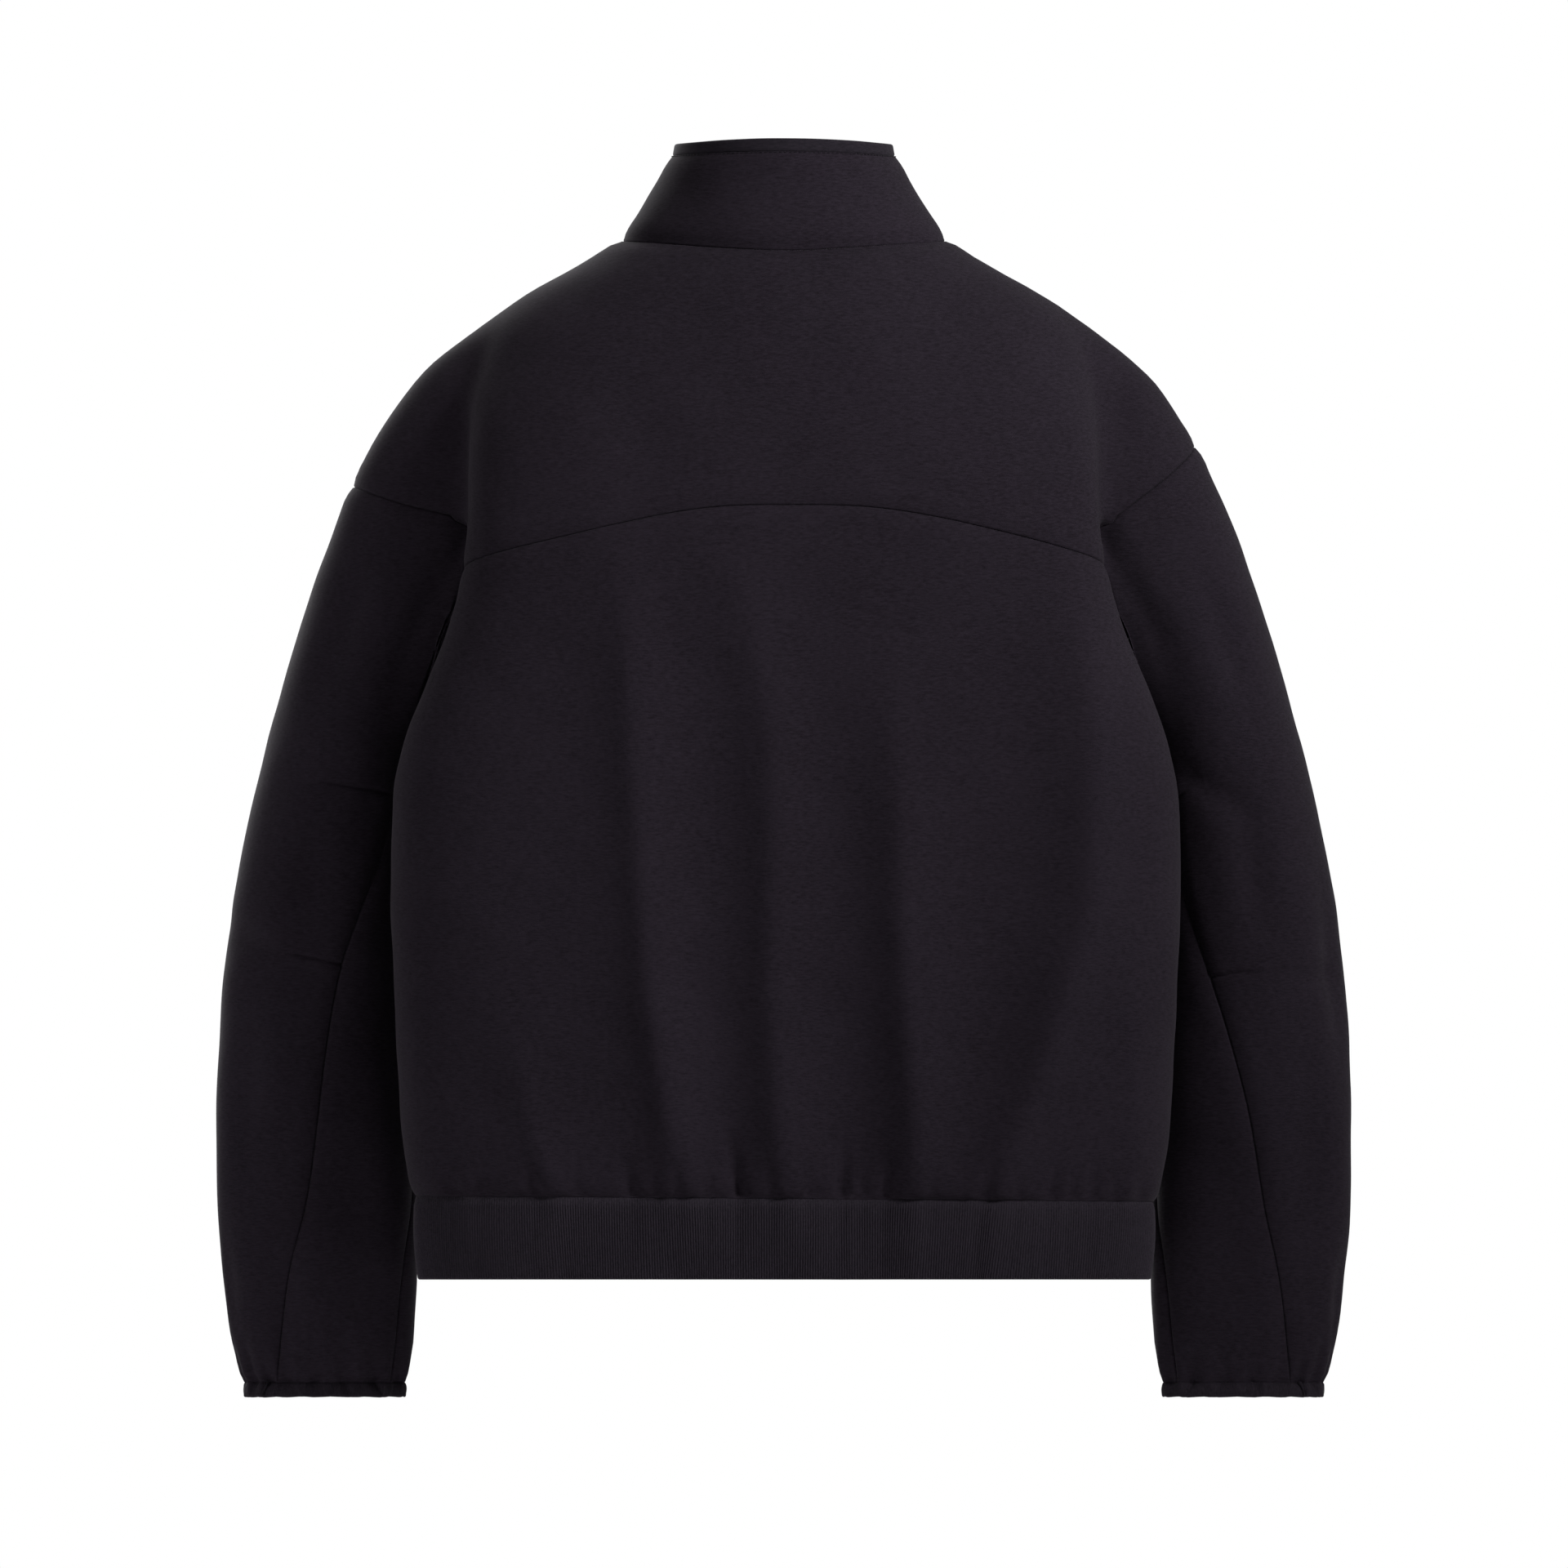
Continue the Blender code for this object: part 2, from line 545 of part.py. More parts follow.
class Skin:
    """The garment's outer face, as one net of shared points."""

    def __init__(self):
        self.points = np.empty((0, 3))

    def add(self, points):
        """Adds points and gives their numbers."""
        first = len(self.points)
        self.points = np.concatenate([self.points, points])
        return np.arange(first, len(self.points))

    def normals(self, quads):
        """Each point's outward direction: an even mean of the faces that meet there."""
        total = np.zeros_like(self.points)
        corners = self.points[quads]
        facing = np.cross(corners[:, 2] - corners[:, 0], corners[:, 3] - corners[:, 1])
        facing /= np.linalg.norm(facing, axis=1, keepdims=True)
        for corner in range(4):
            np.add.at(total, quads[:, corner], facing)
        return total / np.maximum(np.linalg.norm(total, axis=1, keepdims=True), 1e-12)


def quads_of(*nets):
    """The faces of nets of point numbers, in the order that points them outwards."""
    faces = [
        np.stack([net[:-1, :-1], net[1:, :-1], net[1:, 1:], net[:-1, 1:]], axis=-1).reshape(-1, 4)
        for net in nets
    ]
    return np.concatenate(faces)


def closed(net):
    """A net whose last column is its first again."""
    return np.concatenate([net, net[:, :1]], axis=1)


def body_nets(skin):
    """The body's nets of point numbers, by name, and its neck, hem and armhole loops."""
    sides = ("left", "right")
    shoulders = [shoulder_row(number) for number in range(len(SHOULDER))]
    cap_back = {side: armhole(ARMHOLE_BACK_CAP[side], BACK_CAP_COLUMNS, side) for side in sides}
    cap_front = {side: armhole(ARMHOLE_FRONT_CAP[side], FRONT_CAP_COLUMNS, side) for side in sides}
    yoke_side = {side: armhole(ARMHOLE_YOKE_SIDE, YOKE_SIDE_ROWS, side) for side in sides}
    lower_side = {side: armhole(ARMHOLE_LOWER_SIDE, LOWER_SIDE_ROWS, side) for side in sides}
    front_side = {side: armhole(ARMHOLE_FRONT_SIDE, FRONT_SIDE_ROWS, side) for side in sides}

    back_end = joined(
        body_points(*cap_back["left"].T),
        back_row(yoke_side["left"][0], yoke_side["right"][0], YOKE_ARMHOLE_MIDDLE),
        body_points(*cap_back["right"][::-1].T),
    )
    front_end = joined(
        body_points(*cap_front["right"].T),
        front_row(front_side["left"][0], front_side["right"][0], FRONT_ARMHOLE_MIDDLE),
        body_points(*cap_front["left"][::-1].T),
    )
    back_top = np.stack([skin.add(points) for points in [*(row[0] for row in shoulders), back_end]])
    front_top = np.stack([skin.add(points) for points in [*(row[1] for row in shoulders), front_end]])
    front_top[:, 0], front_top[:, -1] = back_top[:, -1], back_top[:, 0]

    yoke_low = [back_top[-1, BACK_CAP_COLUMNS:-BACK_CAP_COLUMNS]]
    for row in range(1, YOKE_SIDE_ROWS + 1):
        middle = np.interp(row, (0, YOKE_SIDE_ROWS), (YOKE_ARMHOLE_MIDDLE, YOKE_SEAM_MIDDLE))
        yoke_low.append(skin.add(back_row(yoke_side["left"][row], yoke_side["right"][row], middle)))
    lower = [yoke_low[-1]]
    for row in range(1, LOWER_SIDE_ROWS + 1):
        middle = np.interp(row, (0, LOWER_SIDE_ROWS), (YOKE_SEAM_MIDDLE, ARMPIT_BACK_MIDDLE))
        lower.append(skin.add(back_row(lower_side["left"][row], lower_side["right"][row], middle)))
    front = [front_top[-1, FRONT_CAP_COLUMNS:-FRONT_CAP_COLUMNS]]
    for row in range(1, FRONT_SIDE_ROWS + 1):
        middle = np.interp(row, (0, FRONT_SIDE_ROWS), (FRONT_ARMHOLE_MIDDLE, ARMPIT_FRONT_MIDDLE))
        front.append(skin.add(front_row(front_side["left"][row], front_side["right"][row], middle)))
    front[-1][0], front[-1][-1] = lower[-1][-1], lower[-1][0]

    armpit = lower_side["left"][-1]
    for row in range(1, BODY_ROWS + 1):
        share = row / BODY_ROWS
        down = (1 + HEM_CROWDING) * share - HEM_CROWDING * share**3
        left = (armpit[0], armpit[1] + (HEM_SEAM - armpit[1]) * down)
        right = (180.0 - armpit[0], left[1])
        back_middle = ARMPIT_BACK_MIDDLE + (HEM_SEAM - ARMPIT_BACK_MIDDLE) * down
        front_middle = ARMPIT_FRONT_MIDDLE + (HEM_SEAM - ARMPIT_FRONT_MIDDLE) * down
        lower.append(skin.add(back_row(left, right, back_middle)))
        front.append(skin.add(front_row(left, right, front_middle)))
        front[-1][0], front[-1][-1] = lower[-1][-1], lower[-1][0]
    yoke_low, lower, front = np.stack(yoke_low), np.stack(lower), np.stack(front)

    neck = np.concatenate([back_top[0], front_top[0, 1:-1]])
    hem = np.concatenate([lower[-1], front[-1, 1:-1]])
    sleeves = {}
    for side, way in (("left", 1), ("right", -1)):
        over_top = back_top[-1, ::way][: BACK_CAP_COLUMNS + 1]
        down_back = [yoke_low[1:, ::way][:, 0], lower[1 : LOWER_SIDE_ROWS + 1, ::way][:, 0]]
        up_front = front[1:FRONT_SIDE_ROWS, ::way][::-1, -1]
        front_cap = front_top[-1, ::way][-FRONT_CAP_COLUMNS - 1 : -1]
        sleeves[side] = np.concatenate([over_top, *down_back, up_front, front_cap])
    tilt = smooth_step((HEM_TILT_START - skin.points[:, 2]) / HEM_TILT_RAMP)
    skin.points[:, 2] += HEM_SEAM_TILT * skin.points[:, 0] * tilt
    backs = {"back_top": back_top, "yoke_low": yoke_low, "lower": lower}
    return {**backs, "front_top": front_top, "front": front}, neck, hem, sleeves


def smooth_step(share):
    """0 below 0, 1 above 1, and an even rise between."""
    share = np.clip(share, 0.0, 1.0)
    return share * share * (3 - 2 * share)


def sleeve_point(angle, z):
    """Points of the left sleeve's smooth outer face, at angles in degrees from outside over the back."""
    angle = np.radians(angle)
    outer, inner = read(SLEEVE, "outer", z), read(SLEEVE, "inner", z)
    x = (outer + inner) / 2 + (outer - inner) / 2 * np.cos(angle)
    y = read(SLEEVE, "middle_y", z) + read(SLEEVE, "depth", z) * np.sin(angle)
    return np.stack([x, y, z + 0 * angle], axis=-1)


def sleeve_angle(points):
    """The angles round the left sleeve at which points lie, in degrees."""
    x, y, z = points.T
    outer, inner = read(SLEEVE, "outer", z), read(SLEEVE, "inner", z)
    across = (x - (outer + inner) / 2) / (outer - inner)
    along = (y - read(SLEEVE, "middle_y", z)) / (2 * read(SLEEVE, "depth", z))
    return np.degrees(np.arctan2(along, across)) % 360.0


def elbow_angle(side, z):
    """The angle round the sleeve at which its elbow seam lies at height z."""
    outer, inner = read(SLEEVE, "outer", z), read(SLEEVE, "inner", z)
    across = (read(ELBOW_SEAM[side], "x", z) - (outer + inner) / 2) / ((outer - inner) / 2)
    return np.degrees(np.arccos(across))


def sleeve_net(skin, side, loop):
    """A sleeve's net below the armhole's points, and the columns of its elbow seam and inner seam."""
    mirror = np.array([1.0 if side == "left" else -1.0, 1.0, 1.0])
    start = skin.points[loop] * mirror
    count = len(loop)
    inner_seam = BACK_CAP_COLUMNS + YOKE_SIDE_ROWS + LOWER_SIDE_ROWS
    elbow_seam = inner_seam - UNDER_SLEEVE_COLUMNS
    first_angle = np.degrees(np.unwrap(np.radians(sleeve_angle(start))))
    first_angle -= 360.0 * (first_angle[0] > 180.0)
    offset = start - sleeve_point(first_angle, start[:, 2])
    column = np.arange(count)
    stations = (elbow_seam - count, inner_seam - count, elbow_seam, inner_seam, elbow_seam + count)
    rows = [loop]
    for row in range(1, SLEEVE_ROWS + 1):
        share = row / SLEEVE_ROWS
        level = HIGHEST_LEVEL + (CUFF_SEAM - HIGHEST_LEVEL) * share**1.5
        z = start[:, 2] + (level - start[:, 2]) * min(1.0, row / FIRST_LEVEL_ROW)
        at_elbow = elbow_angle(side, z[elbow_seam])
        at_inner = read(INNER_SEAM, "angle", z[inner_seam])
        angles = (at_elbow - 360, at_inner - 360, at_elbow, at_inner, at_elbow + 360)
        even = np.interp(column, stations, angles)
        angle = first_angle + (even - first_angle) * smooth_step(row / FIRST_LEVEL_ROW)
        fade = 1.0 - smooth_step((start[:, 2] - z) / ARMHOLE_FALLOFF)
        points = dented(side, sleeve_point(angle, z) + offset * fade[:, None], angle)
        rows.append(skin.add(clear_of_torso(points, start[:, 2] - z) * mirror))
    return np.stack(rows), elbow_seam, inner_seam


def clear_of_torso(points, below):
    """Sleeve points, moved outwards where they would lie in the torso or too close beside it."""
    x, y, z = points.T
    wanted = 1.0 + TORSO_CLEARANCE * np.clip(below / CLEARANCE_RAMP, 0.0, 1.0)
    for _ in range(4):
        x = x * np.maximum(1.0, wanted / np.maximum(torso_gauge(x, y, z), 0.5))
    return np.stack([x, y, z], axis=-1)


def dented(side, points, angle):
    """Sleeve points, pushed in at the side's dents."""
    x, y, z = points.T
    middle_x = (read(SLEEVE, "outer", z) + read(SLEEVE, "inner", z)) / 2
    inwards = np.stack([middle_x - x, read(SLEEVE, "middle_y", z) - y], axis=-1)
    radius = np.linalg.norm(inwards, axis=1)
    push = np.zeros(len(points))
    for dent in SLEEVE_DENTS:
        if dent.side != side:
            continue
        turn = (angle - dent.angle + 180.0) % 360.0 - 180.0
        round_it = np.radians(turn) * radius / dent.half_round
        along = (z - dent.z) / dent.half_height
        push += dent.depth * np.exp(-(round_it**2) - along**2)
    moved = points.copy()
    moved[:, :2] += inwards / radius[:, None] * push[:, None]
    return moved


def collar_oval(half, back, front, angle):
    """A level oval of the collar at the given angles, as (x, y)."""
    depth = np.where(np.sin(angle) >= 0, back - COLLAR_MIDDLE_Y, COLLAR_MIDDLE_Y - front)
    return half * np.cos(angle), COLLAR_MIDDLE_Y + depth * np.sin(angle)


def collar_ring(share, base, angle):
    """A ring of the collar, at a share of the way up from the neck seam's points."""
    shares = [row.share for row in COLLAR]
    half, back, front = (
        np.interp(share, shares, [getattr(row, column) for row in COLLAR])
        for column in ("half_width", "back", "front")
    )
    x, y = collar_oval(half, back, front, angle)
    first_x, first_y = collar_oval(COLLAR[0].half_width, COLLAR[0].back, COLLAR[0].front, angle)
    fade = 1.0 - smooth_step(share / 0.5)
    x, y = x + (base[:, 0] - first_x) * fade, y + (base[:, 1] - first_y) * fade
    rim_end = np.where(np.sin(angle) >= 0, RIM_BACK, RIM_FRONT)
    rim = RIM_SIDE + (rim_end - RIM_SIDE) * np.sin(angle) ** 2
    return np.stack([x, y, base[:, 2] + (rim - base[:, 2]) * share], axis=-1)


def collar_net(skin, neck):
    """The collar's closed net, from its top edge down to the neck seam's points."""
    base = skin.points[neck]
    ring = COLLAR[0]
    behind = base[:, 1] >= COLLAR_MIDDLE_Y
    depth = np.where(behind, ring.back - COLLAR_MIDDLE_Y, COLLAR_MIDDLE_Y - ring.front)
    angle = np.arctan2((base[:, 1] - COLLAR_MIDDLE_Y) / depth, base[:, 0] / ring.half_width)
    shares = [1.0, *np.linspace(COLLAR_BAND_SHARE, 0.0, COLLAR_ROWS + 1)[:-1]]
    rows = [skin.add(collar_ring(share, base, angle)) for share in shares]
    return np.stack([*rows, neck])


def hem_net(skin, seam):
    """The waistband's closed net, from the hem seam's points down to the garment's edge."""
    top = skin.points[seam]
    turned = np.degrees(np.arctan2(top[:, 1] - POLE_Y, top[:, 0]))
    edge = body_points(turned, np.full(len(top), HEM_EDGE))
    rows = [seam]
    for row in range(1, HEM_ROWS + 1):
        share = row / HEM_ROWS
        points = top + (edge - top) * share
        bulge = HEM_BULGE * np.sin(np.pi * share)
        outwards = points[:, :2] / np.linalg.norm(points[:, :2], axis=1, keepdims=True)
        points[:, :2] += outwards * bulge
        rows.append(skin.add(points))
    return np.stack(rows)


def cuff_net(skin, side, seam):
    """A wrist binding's closed net, from the cuff seam's points down to the sleeve's edge."""
    mirror = np.array([1.0 if side == "left" else -1.0, 1.0, 1.0])
    top = skin.points[seam] * mirror
    edge = sleeve_point(sleeve_angle(top), np.full(len(top), CUFF_EDGE))
    return np.stack([seam, skin.add(edge * mirror)])


def fold_push(points, side):
    """How far the body's folds and puckers press each point in."""
    x, y, z = points.T
    push = np.zeros(len(points))
    for fold in BODY_FOLDS:
        if fold.side != side:
            continue
        path_x, path_z = np.array(fold.path).T
        middle = np.interp(-z, -path_z, path_x)
        start_fade = smooth_step((path_z[0] - z) / FOLD_START + 0.3)
        end_fade = smooth_step((z - path_z[-1]) / FOLD_END + 0.6)
        across = (x - middle) / fold.half_width
        push += fold.depth * start_fade * end_fade * np.exp(-(across**2))
    above_hem = z - HEM_SEAM
    for pucker in PUCKERS[side]:
        fade = smooth_step(1.0 - above_hem / pucker.length) * smooth_step(above_hem / PUCKER_START + 0.2)
        push += pucker.depth * fade * np.exp(-(((x - pucker.x) / PUCKER_HALF_WIDTH) ** 2))
    return push


def fold_body(skin, nets):
    """Presses the folds into the back and the front, fading out at the armholes and the side seams."""
    normals = skin.normals(quads_of(*nets.values()))
    for side, name in (("back", "lower"), ("front", "front")):
        net = nets[name]
        across = np.arange(net.shape[1])
        from_side = np.minimum(across, across[::-1])
        edge_fade = np.tile(smooth_step(from_side / FOLD_SIDE_COLUMNS), len(net))
        ids = net.reshape(-1)
        push = fold_push(skin.points[ids], side) * edge_fade
        skin.points[ids] -= normals[ids] * push[:, None]


def draw_back(points, edges, normals):
    """Moves a cut piece's edges into the piece by half a seam's gap, square to the shared normals."""
    start, end = edges.T
    into = np.cross(normals[start] + normals[end], points[end] - points[start])
    into /= np.linalg.norm(into, axis=1, keepdims=True)
    total = np.zeros_like(points)
    np.add.at(total, start, into)
    np.add.at(total, end, into)
    length = np.linalg.norm(total, axis=1, keepdims=True)
    # Two equal directions add up to 2, so this moves a point by the gap's half from both its edges
    move = total / np.maximum(length, 1e-12) ** 2 * SEAM_GAP
    return points + np.where(length > 0.5, move, 0.0)


def edges_of(quads):
    """The edges that only one of the faces has, in that face's own direction."""
    ends = np.concatenate([quads[:, [corner, (corner + 1) % 4]] for corner in range(4)])
    _, first, uses = np.unique(np.sort(ends, axis=1), axis=0, return_index=True, return_counts=True)
    return ends[first[uses == 1]]


def wall_object(name, skin, quads, normals, wall, material, collection):
    """A cut piece's object: its outer face, its inner face and its edges all round."""
    ids, local = np.unique(quads, return_inverse=True)
    local = local.reshape(quads.shape)
    outer = skin.points[ids]
    inner = outer - wall * normals[ids]
    edges = edges_of(local)
    outer = draw_back(outer, edges, normals[ids])
    inner = draw_back(inner, edges, normals[ids])
    under = len(ids)
    # Both pieces at a seam split the cloth's edge along the same diagonal, so that it stays clear
    start, end = edges.T
    rim = np.concatenate(
        [
            np.stack([end, start, edges.max(axis=1) + under], axis=1),
            np.stack([edges.min(axis=1), start + under, end + under], axis=1),
        ]
    )
    faces = [*local.tolist(), *(local[:, ::-1] + under).tolist(), *rim.tolist()]
    mesh = bpy.data.meshes.new(name)
    mesh.from_pydata(np.concatenate([outer, inner]).tolist(), [], faces)
    mesh.shade_smooth()
    mesh.set_sharp_from_angle(angle=np.radians(50))
    mesh.materials.append(material)
    piece = bpy.data.objects.new(name, mesh)
    collection.objects.link(piece)


def make_material(finish):
    """A plain cloth material in the finish's colour."""
    material = bpy.data.materials.new(finish.name)
    material.use_nodes = True
    shader = material.node_tree.nodes["Principled BSDF"]
    shader.inputs["Base Color"].default_value = finish.colour
    shader.inputs["Roughness"].default_value = finish.roughness
    shader.inputs["Metallic"].default_value = 0.0
    material.diffuse_color = finish.colour
    return material


def main():
    """Clears the scene and makes the garment's pieces."""
    for old in list(bpy.data.objects):
        bpy.data.objects.remove(old, do_unlink=True)
    collection = bpy.data.collections.new("stand_collar_sweatshirt")
    bpy.context.scene.collection.children.link(collection)
    fleece, rib = make_material(FLEECE_FINISH), make_material(RIB_FINISH)
    band, binding = make_material(BAND_FINISH), make_material(CUFF_FINISH)

    skin = Skin()
    nets, neck, hem_seam, loops = body_nets(skin)
    fold_body(skin, nets)
    collar = closed(collar_net(skin, neck))
    hem = closed(hem_net(skin, hem_seam))
    pieces = [
        ("back_yoke", quads_of(nets["back_top"], nets["yoke_low"]), FLEECE, fleece),
        ("back_lower", quads_of(nets["lower"]), FLEECE, fleece),
        ("front", quads_of(nets["front_top"], nets["front"]), FLEECE, fleece),
        ("collar_top_band", quads_of(collar[:2]), BAND_WALL, band),
        ("collar", quads_of(collar[1:]), COLLAR_WALL, fleece),
        ("hem_rib", quads_of(hem), RIB, rib),
    ]
    for side, loop in loops.items():
        net, elbow_seam, inner_seam = sleeve_net(skin, side, loop)
        under = net[:, elbow_seam : inner_seam + 1]
        upper = np.concatenate([net[:, inner_seam:], net[:, : elbow_seam + 1]], axis=1)
        cuff = closed(cuff_net(skin, side, net[-1]))
        if side == "right":
            under, upper, cuff = under[:, ::-1], upper[:, ::-1], cuff[:, ::-1]
        pieces += [
            (f"upper_sleeve_{side}", quads_of(upper), FLEECE, fleece),
            (f"under_sleeve_{side}", quads_of(under), FLEECE, fleece),
            (f"cuff_binding_{side}", quads_of(cuff), CUFF_WALL, binding),
        ]
    normals = skin.normals(np.concatenate([quads for _, quads, _, _ in pieces]))
    for name, quads, wall, material in pieces:
        wall_object(name, skin, quads, normals, wall, material, collection)


main()
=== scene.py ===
"""The looks of the stand-collar sweatshirt: each cut piece as a fine cloth shell on its solid's form.

Metres, +Z up, in the same frame as the CAD. The wearer faces -Y, so the back faces +Y and the
wearer's left is +X, which is the picture's left. The outer face is one net of shared points, made
from the same sections as the solids. It is subdivided, pressed into folds, and cut into pieces.
"""

import json
import logging
import math
from collections.abc import Callable, Iterable, Sequence
from dataclasses import dataclass, field
from enum import Enum
from typing import NamedTuple

import bmesh
import bpy
import numpy as np
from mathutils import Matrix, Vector
from mathutils.kdtree import KDTree

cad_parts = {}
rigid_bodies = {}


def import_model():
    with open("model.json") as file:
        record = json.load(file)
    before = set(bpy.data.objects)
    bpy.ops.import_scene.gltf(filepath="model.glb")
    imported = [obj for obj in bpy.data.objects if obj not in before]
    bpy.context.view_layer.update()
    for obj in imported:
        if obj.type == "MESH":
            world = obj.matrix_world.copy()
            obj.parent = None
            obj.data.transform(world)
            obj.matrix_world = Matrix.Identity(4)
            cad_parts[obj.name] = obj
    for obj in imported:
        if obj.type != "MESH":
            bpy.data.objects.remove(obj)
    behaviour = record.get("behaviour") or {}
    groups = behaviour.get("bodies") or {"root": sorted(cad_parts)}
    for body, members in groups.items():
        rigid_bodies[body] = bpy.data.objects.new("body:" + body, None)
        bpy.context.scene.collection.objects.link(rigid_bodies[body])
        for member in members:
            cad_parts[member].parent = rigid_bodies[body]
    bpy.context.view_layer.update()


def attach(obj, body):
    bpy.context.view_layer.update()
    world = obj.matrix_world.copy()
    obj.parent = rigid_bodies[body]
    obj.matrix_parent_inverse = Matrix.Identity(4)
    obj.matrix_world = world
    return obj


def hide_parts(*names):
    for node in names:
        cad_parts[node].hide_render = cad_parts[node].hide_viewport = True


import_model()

Array = np.ndarray
Pair = tuple[float, float]
Triple = tuple[float, float, float]
Piece = bpy.types.Object
Material = bpy.types.Material
Socket = bpy.types.NodeSocket
log = logging.getLogger("sweatshirt")

MM = 0.001
BODY = "root"

# Driving sizes, as in the solids
HEM_SEAM = -0.588
HEM_EDGE = -0.637
HEM_SEAM_TILT = 0.008
HEM_TILT_START = -0.45
HEM_TILT_RAMP = 0.12
HEM_CROWDING = 0.12
CUFF_SEAM = -0.7005
CUFF_EDGE = -0.7085
FLEECE = 2.0 * MM
RIB = 2.4 * MM
COLLAR_WALL = 3.4 * MM
BAND_WALL = 3.0 * MM
CUFF_WALL = 2.2 * MM

# Shorter than any length that the cloth has
TINY = 1e-12


class Side(Enum):
    """The wearer's side that a piece is on."""

    LEFT = "left"
    RIGHT = "right"

    @property
    def mirror(self) -> Array:
        """Turns a point of the left side into one of this side, and back."""
        return np.array([1.0 if self is Side.LEFT else -1.0, 1.0, 1.0])


class Panel(Enum):
    """The half of the body that a fold lies in."""

    BACK = "back"
    FRONT = "front"


class TorsoSection(NamedTuple):
    """A level section of the torso: an oval of two halves that meet at its widest line."""

    z: float
    half_width: float
    back: float
    front: float
    widest_y: float
    back_square: float
    front_square: float


class LobeSection(NamedTuple):
    """A level section through both shoulders' lobes, which join the torso above the armpits."""

    z: float
    reach: float
    middle_y: float
    back_depth: float
    front_depth: float


class SleeveSection(NamedTuple):
    """A level section of the left sleeve, as an oval."""

    z: float
    outer: float
    inner: float
    middle_y: float
    depth: float


class SeamPoint(NamedTuple):
    """A point of a seam that runs down a sleeve: its height, and its place or its angle there."""

    z: float
    at: float


class ShoulderRow(NamedTuple):
    """A row of the net between the neck and the armholes' tops."""

    seam_angle: float
    cap_angle: float
    ridge_share: float
    seam_share: float
    back_middle: float
    front_middle: float


class CollarRing(NamedTuple):
    """A ring of the collar, by its share of the way up from the neck seam."""

    share: float
    half_width: float
    back: float
    front: float


def rows_as(kind: Callable[..., NamedTuple], *rows: Sequence[float]) -> tuple:
    """Rows of numbers as sections, puckers or the like."""
    return tuple(kind(*row) for row in rows)


TORSO = rows_as(
    TorsoSection,
    (0.020, 0.0930, 0.050, -0.058, -0.008, 2.0, 2.0),
    (0.000, 0.0995, 0.058, -0.062, -0.008, 2.0, 2.0),
    (-0.0135, 0.1220, 0.071, -0.067, -0.008, 1.95, 2.0),
    (-0.0285, 0.1490, 0.083, -0.072, -0.007, 1.9, 2.0),
    (-0.0435, 0.1710, 0.091, -0.075, -0.004, 1.95, 2.0),
    (-0.0585, 0.1835, 0.097, -0.079, 0.002, 2.0, 2.0),
    (-0.0750, 0.1870, 0.1015, -0.089, 0.014, 2.1, 2.1),
    (-0.0950, 0.1900, 0.106, -0.098, 0.030, 2.25, 2.3),
    (-0.1200, 0.1915, 0.111, -0.107, 0.046, 2.4, 2.5),
    (-0.1500, 0.1925, 0.115, -0.114, 0.055, 2.5, 2.65),
    (-0.1800, 0.1940, 0.1175, -0.119, 0.058, 2.55, 2.65),
    (-0.2080, 0.1975, 0.119, -0.122, 0.057, 2.55, 2.5),
    (-0.2450, 0.2080, 0.120, -0.125, 0.054, 2.55, 2.25),
    (-0.2830, 0.2230, 0.120, -0.1265, 0.050, 2.6, 2.05),
    (-0.3110, 0.2330, 0.119, -0.1275, 0.047, 2.6, 1.95),
    (-0.3400, 0.2390, 0.118, -0.1285, 0.045, 2.6, 1.95),
    (-0.4000, 0.2405, 0.116, -0.1285, 0.043, 2.6, 1.95),
    (-0.4800, 0.2370, 0.113, -0.1265, 0.041, 2.6, 2.0),
    (-0.5400, 0.2340, 0.111, -0.1235, 0.040, 2.6, 2.0),
    (-0.5720, 0.2300, 0.1085, -0.1200, 0.039, 2.6, 2.0),
    (-0.5880, 0.2265, 0.106, -0.1170, 0.038, 2.6, 2.0),
    (-0.6370, 0.2240, 0.104, -0.1150, 0.037, 2.6, 2.0),
)
LOBE = rows_as(
    LobeSection,
    (0.020, 0.050, -0.010, 0.016, 0.016),
    (-0.0285, 0.128, -0.010, 0.022, 0.022),
    (-0.0435, 0.1655, -0.010, 0.030, 0.030),
    (-0.0585, 0.1910, -0.010, 0.037, 0.038),
    (-0.0735, 0.2120, -0.011, 0.043, 0.045),
    (-0.0885, 0.2275, -0.012, 0.048, 0.050),
    (-0.1035, 0.2380, -0.014, 0.051, 0.053),
    (-0.1185, 0.2480, -0.015, 0.053, 0.055),
    (-0.1510, 0.2645, -0.018, 0.056, 0.058),
    (-0.1695, 0.2710, -0.019, 0.056, 0.059),
    (-0.1800, 0.2740, -0.020, 0.030, 0.060),
    (-0.2200, 0.2600, -0.022, 0.020, 0.060),
    (-0.2450, 0.1900, -0.024, 0.016, 0.050),
    (-0.2650, 0.1400, -0.026, 0.014, 0.030),
)
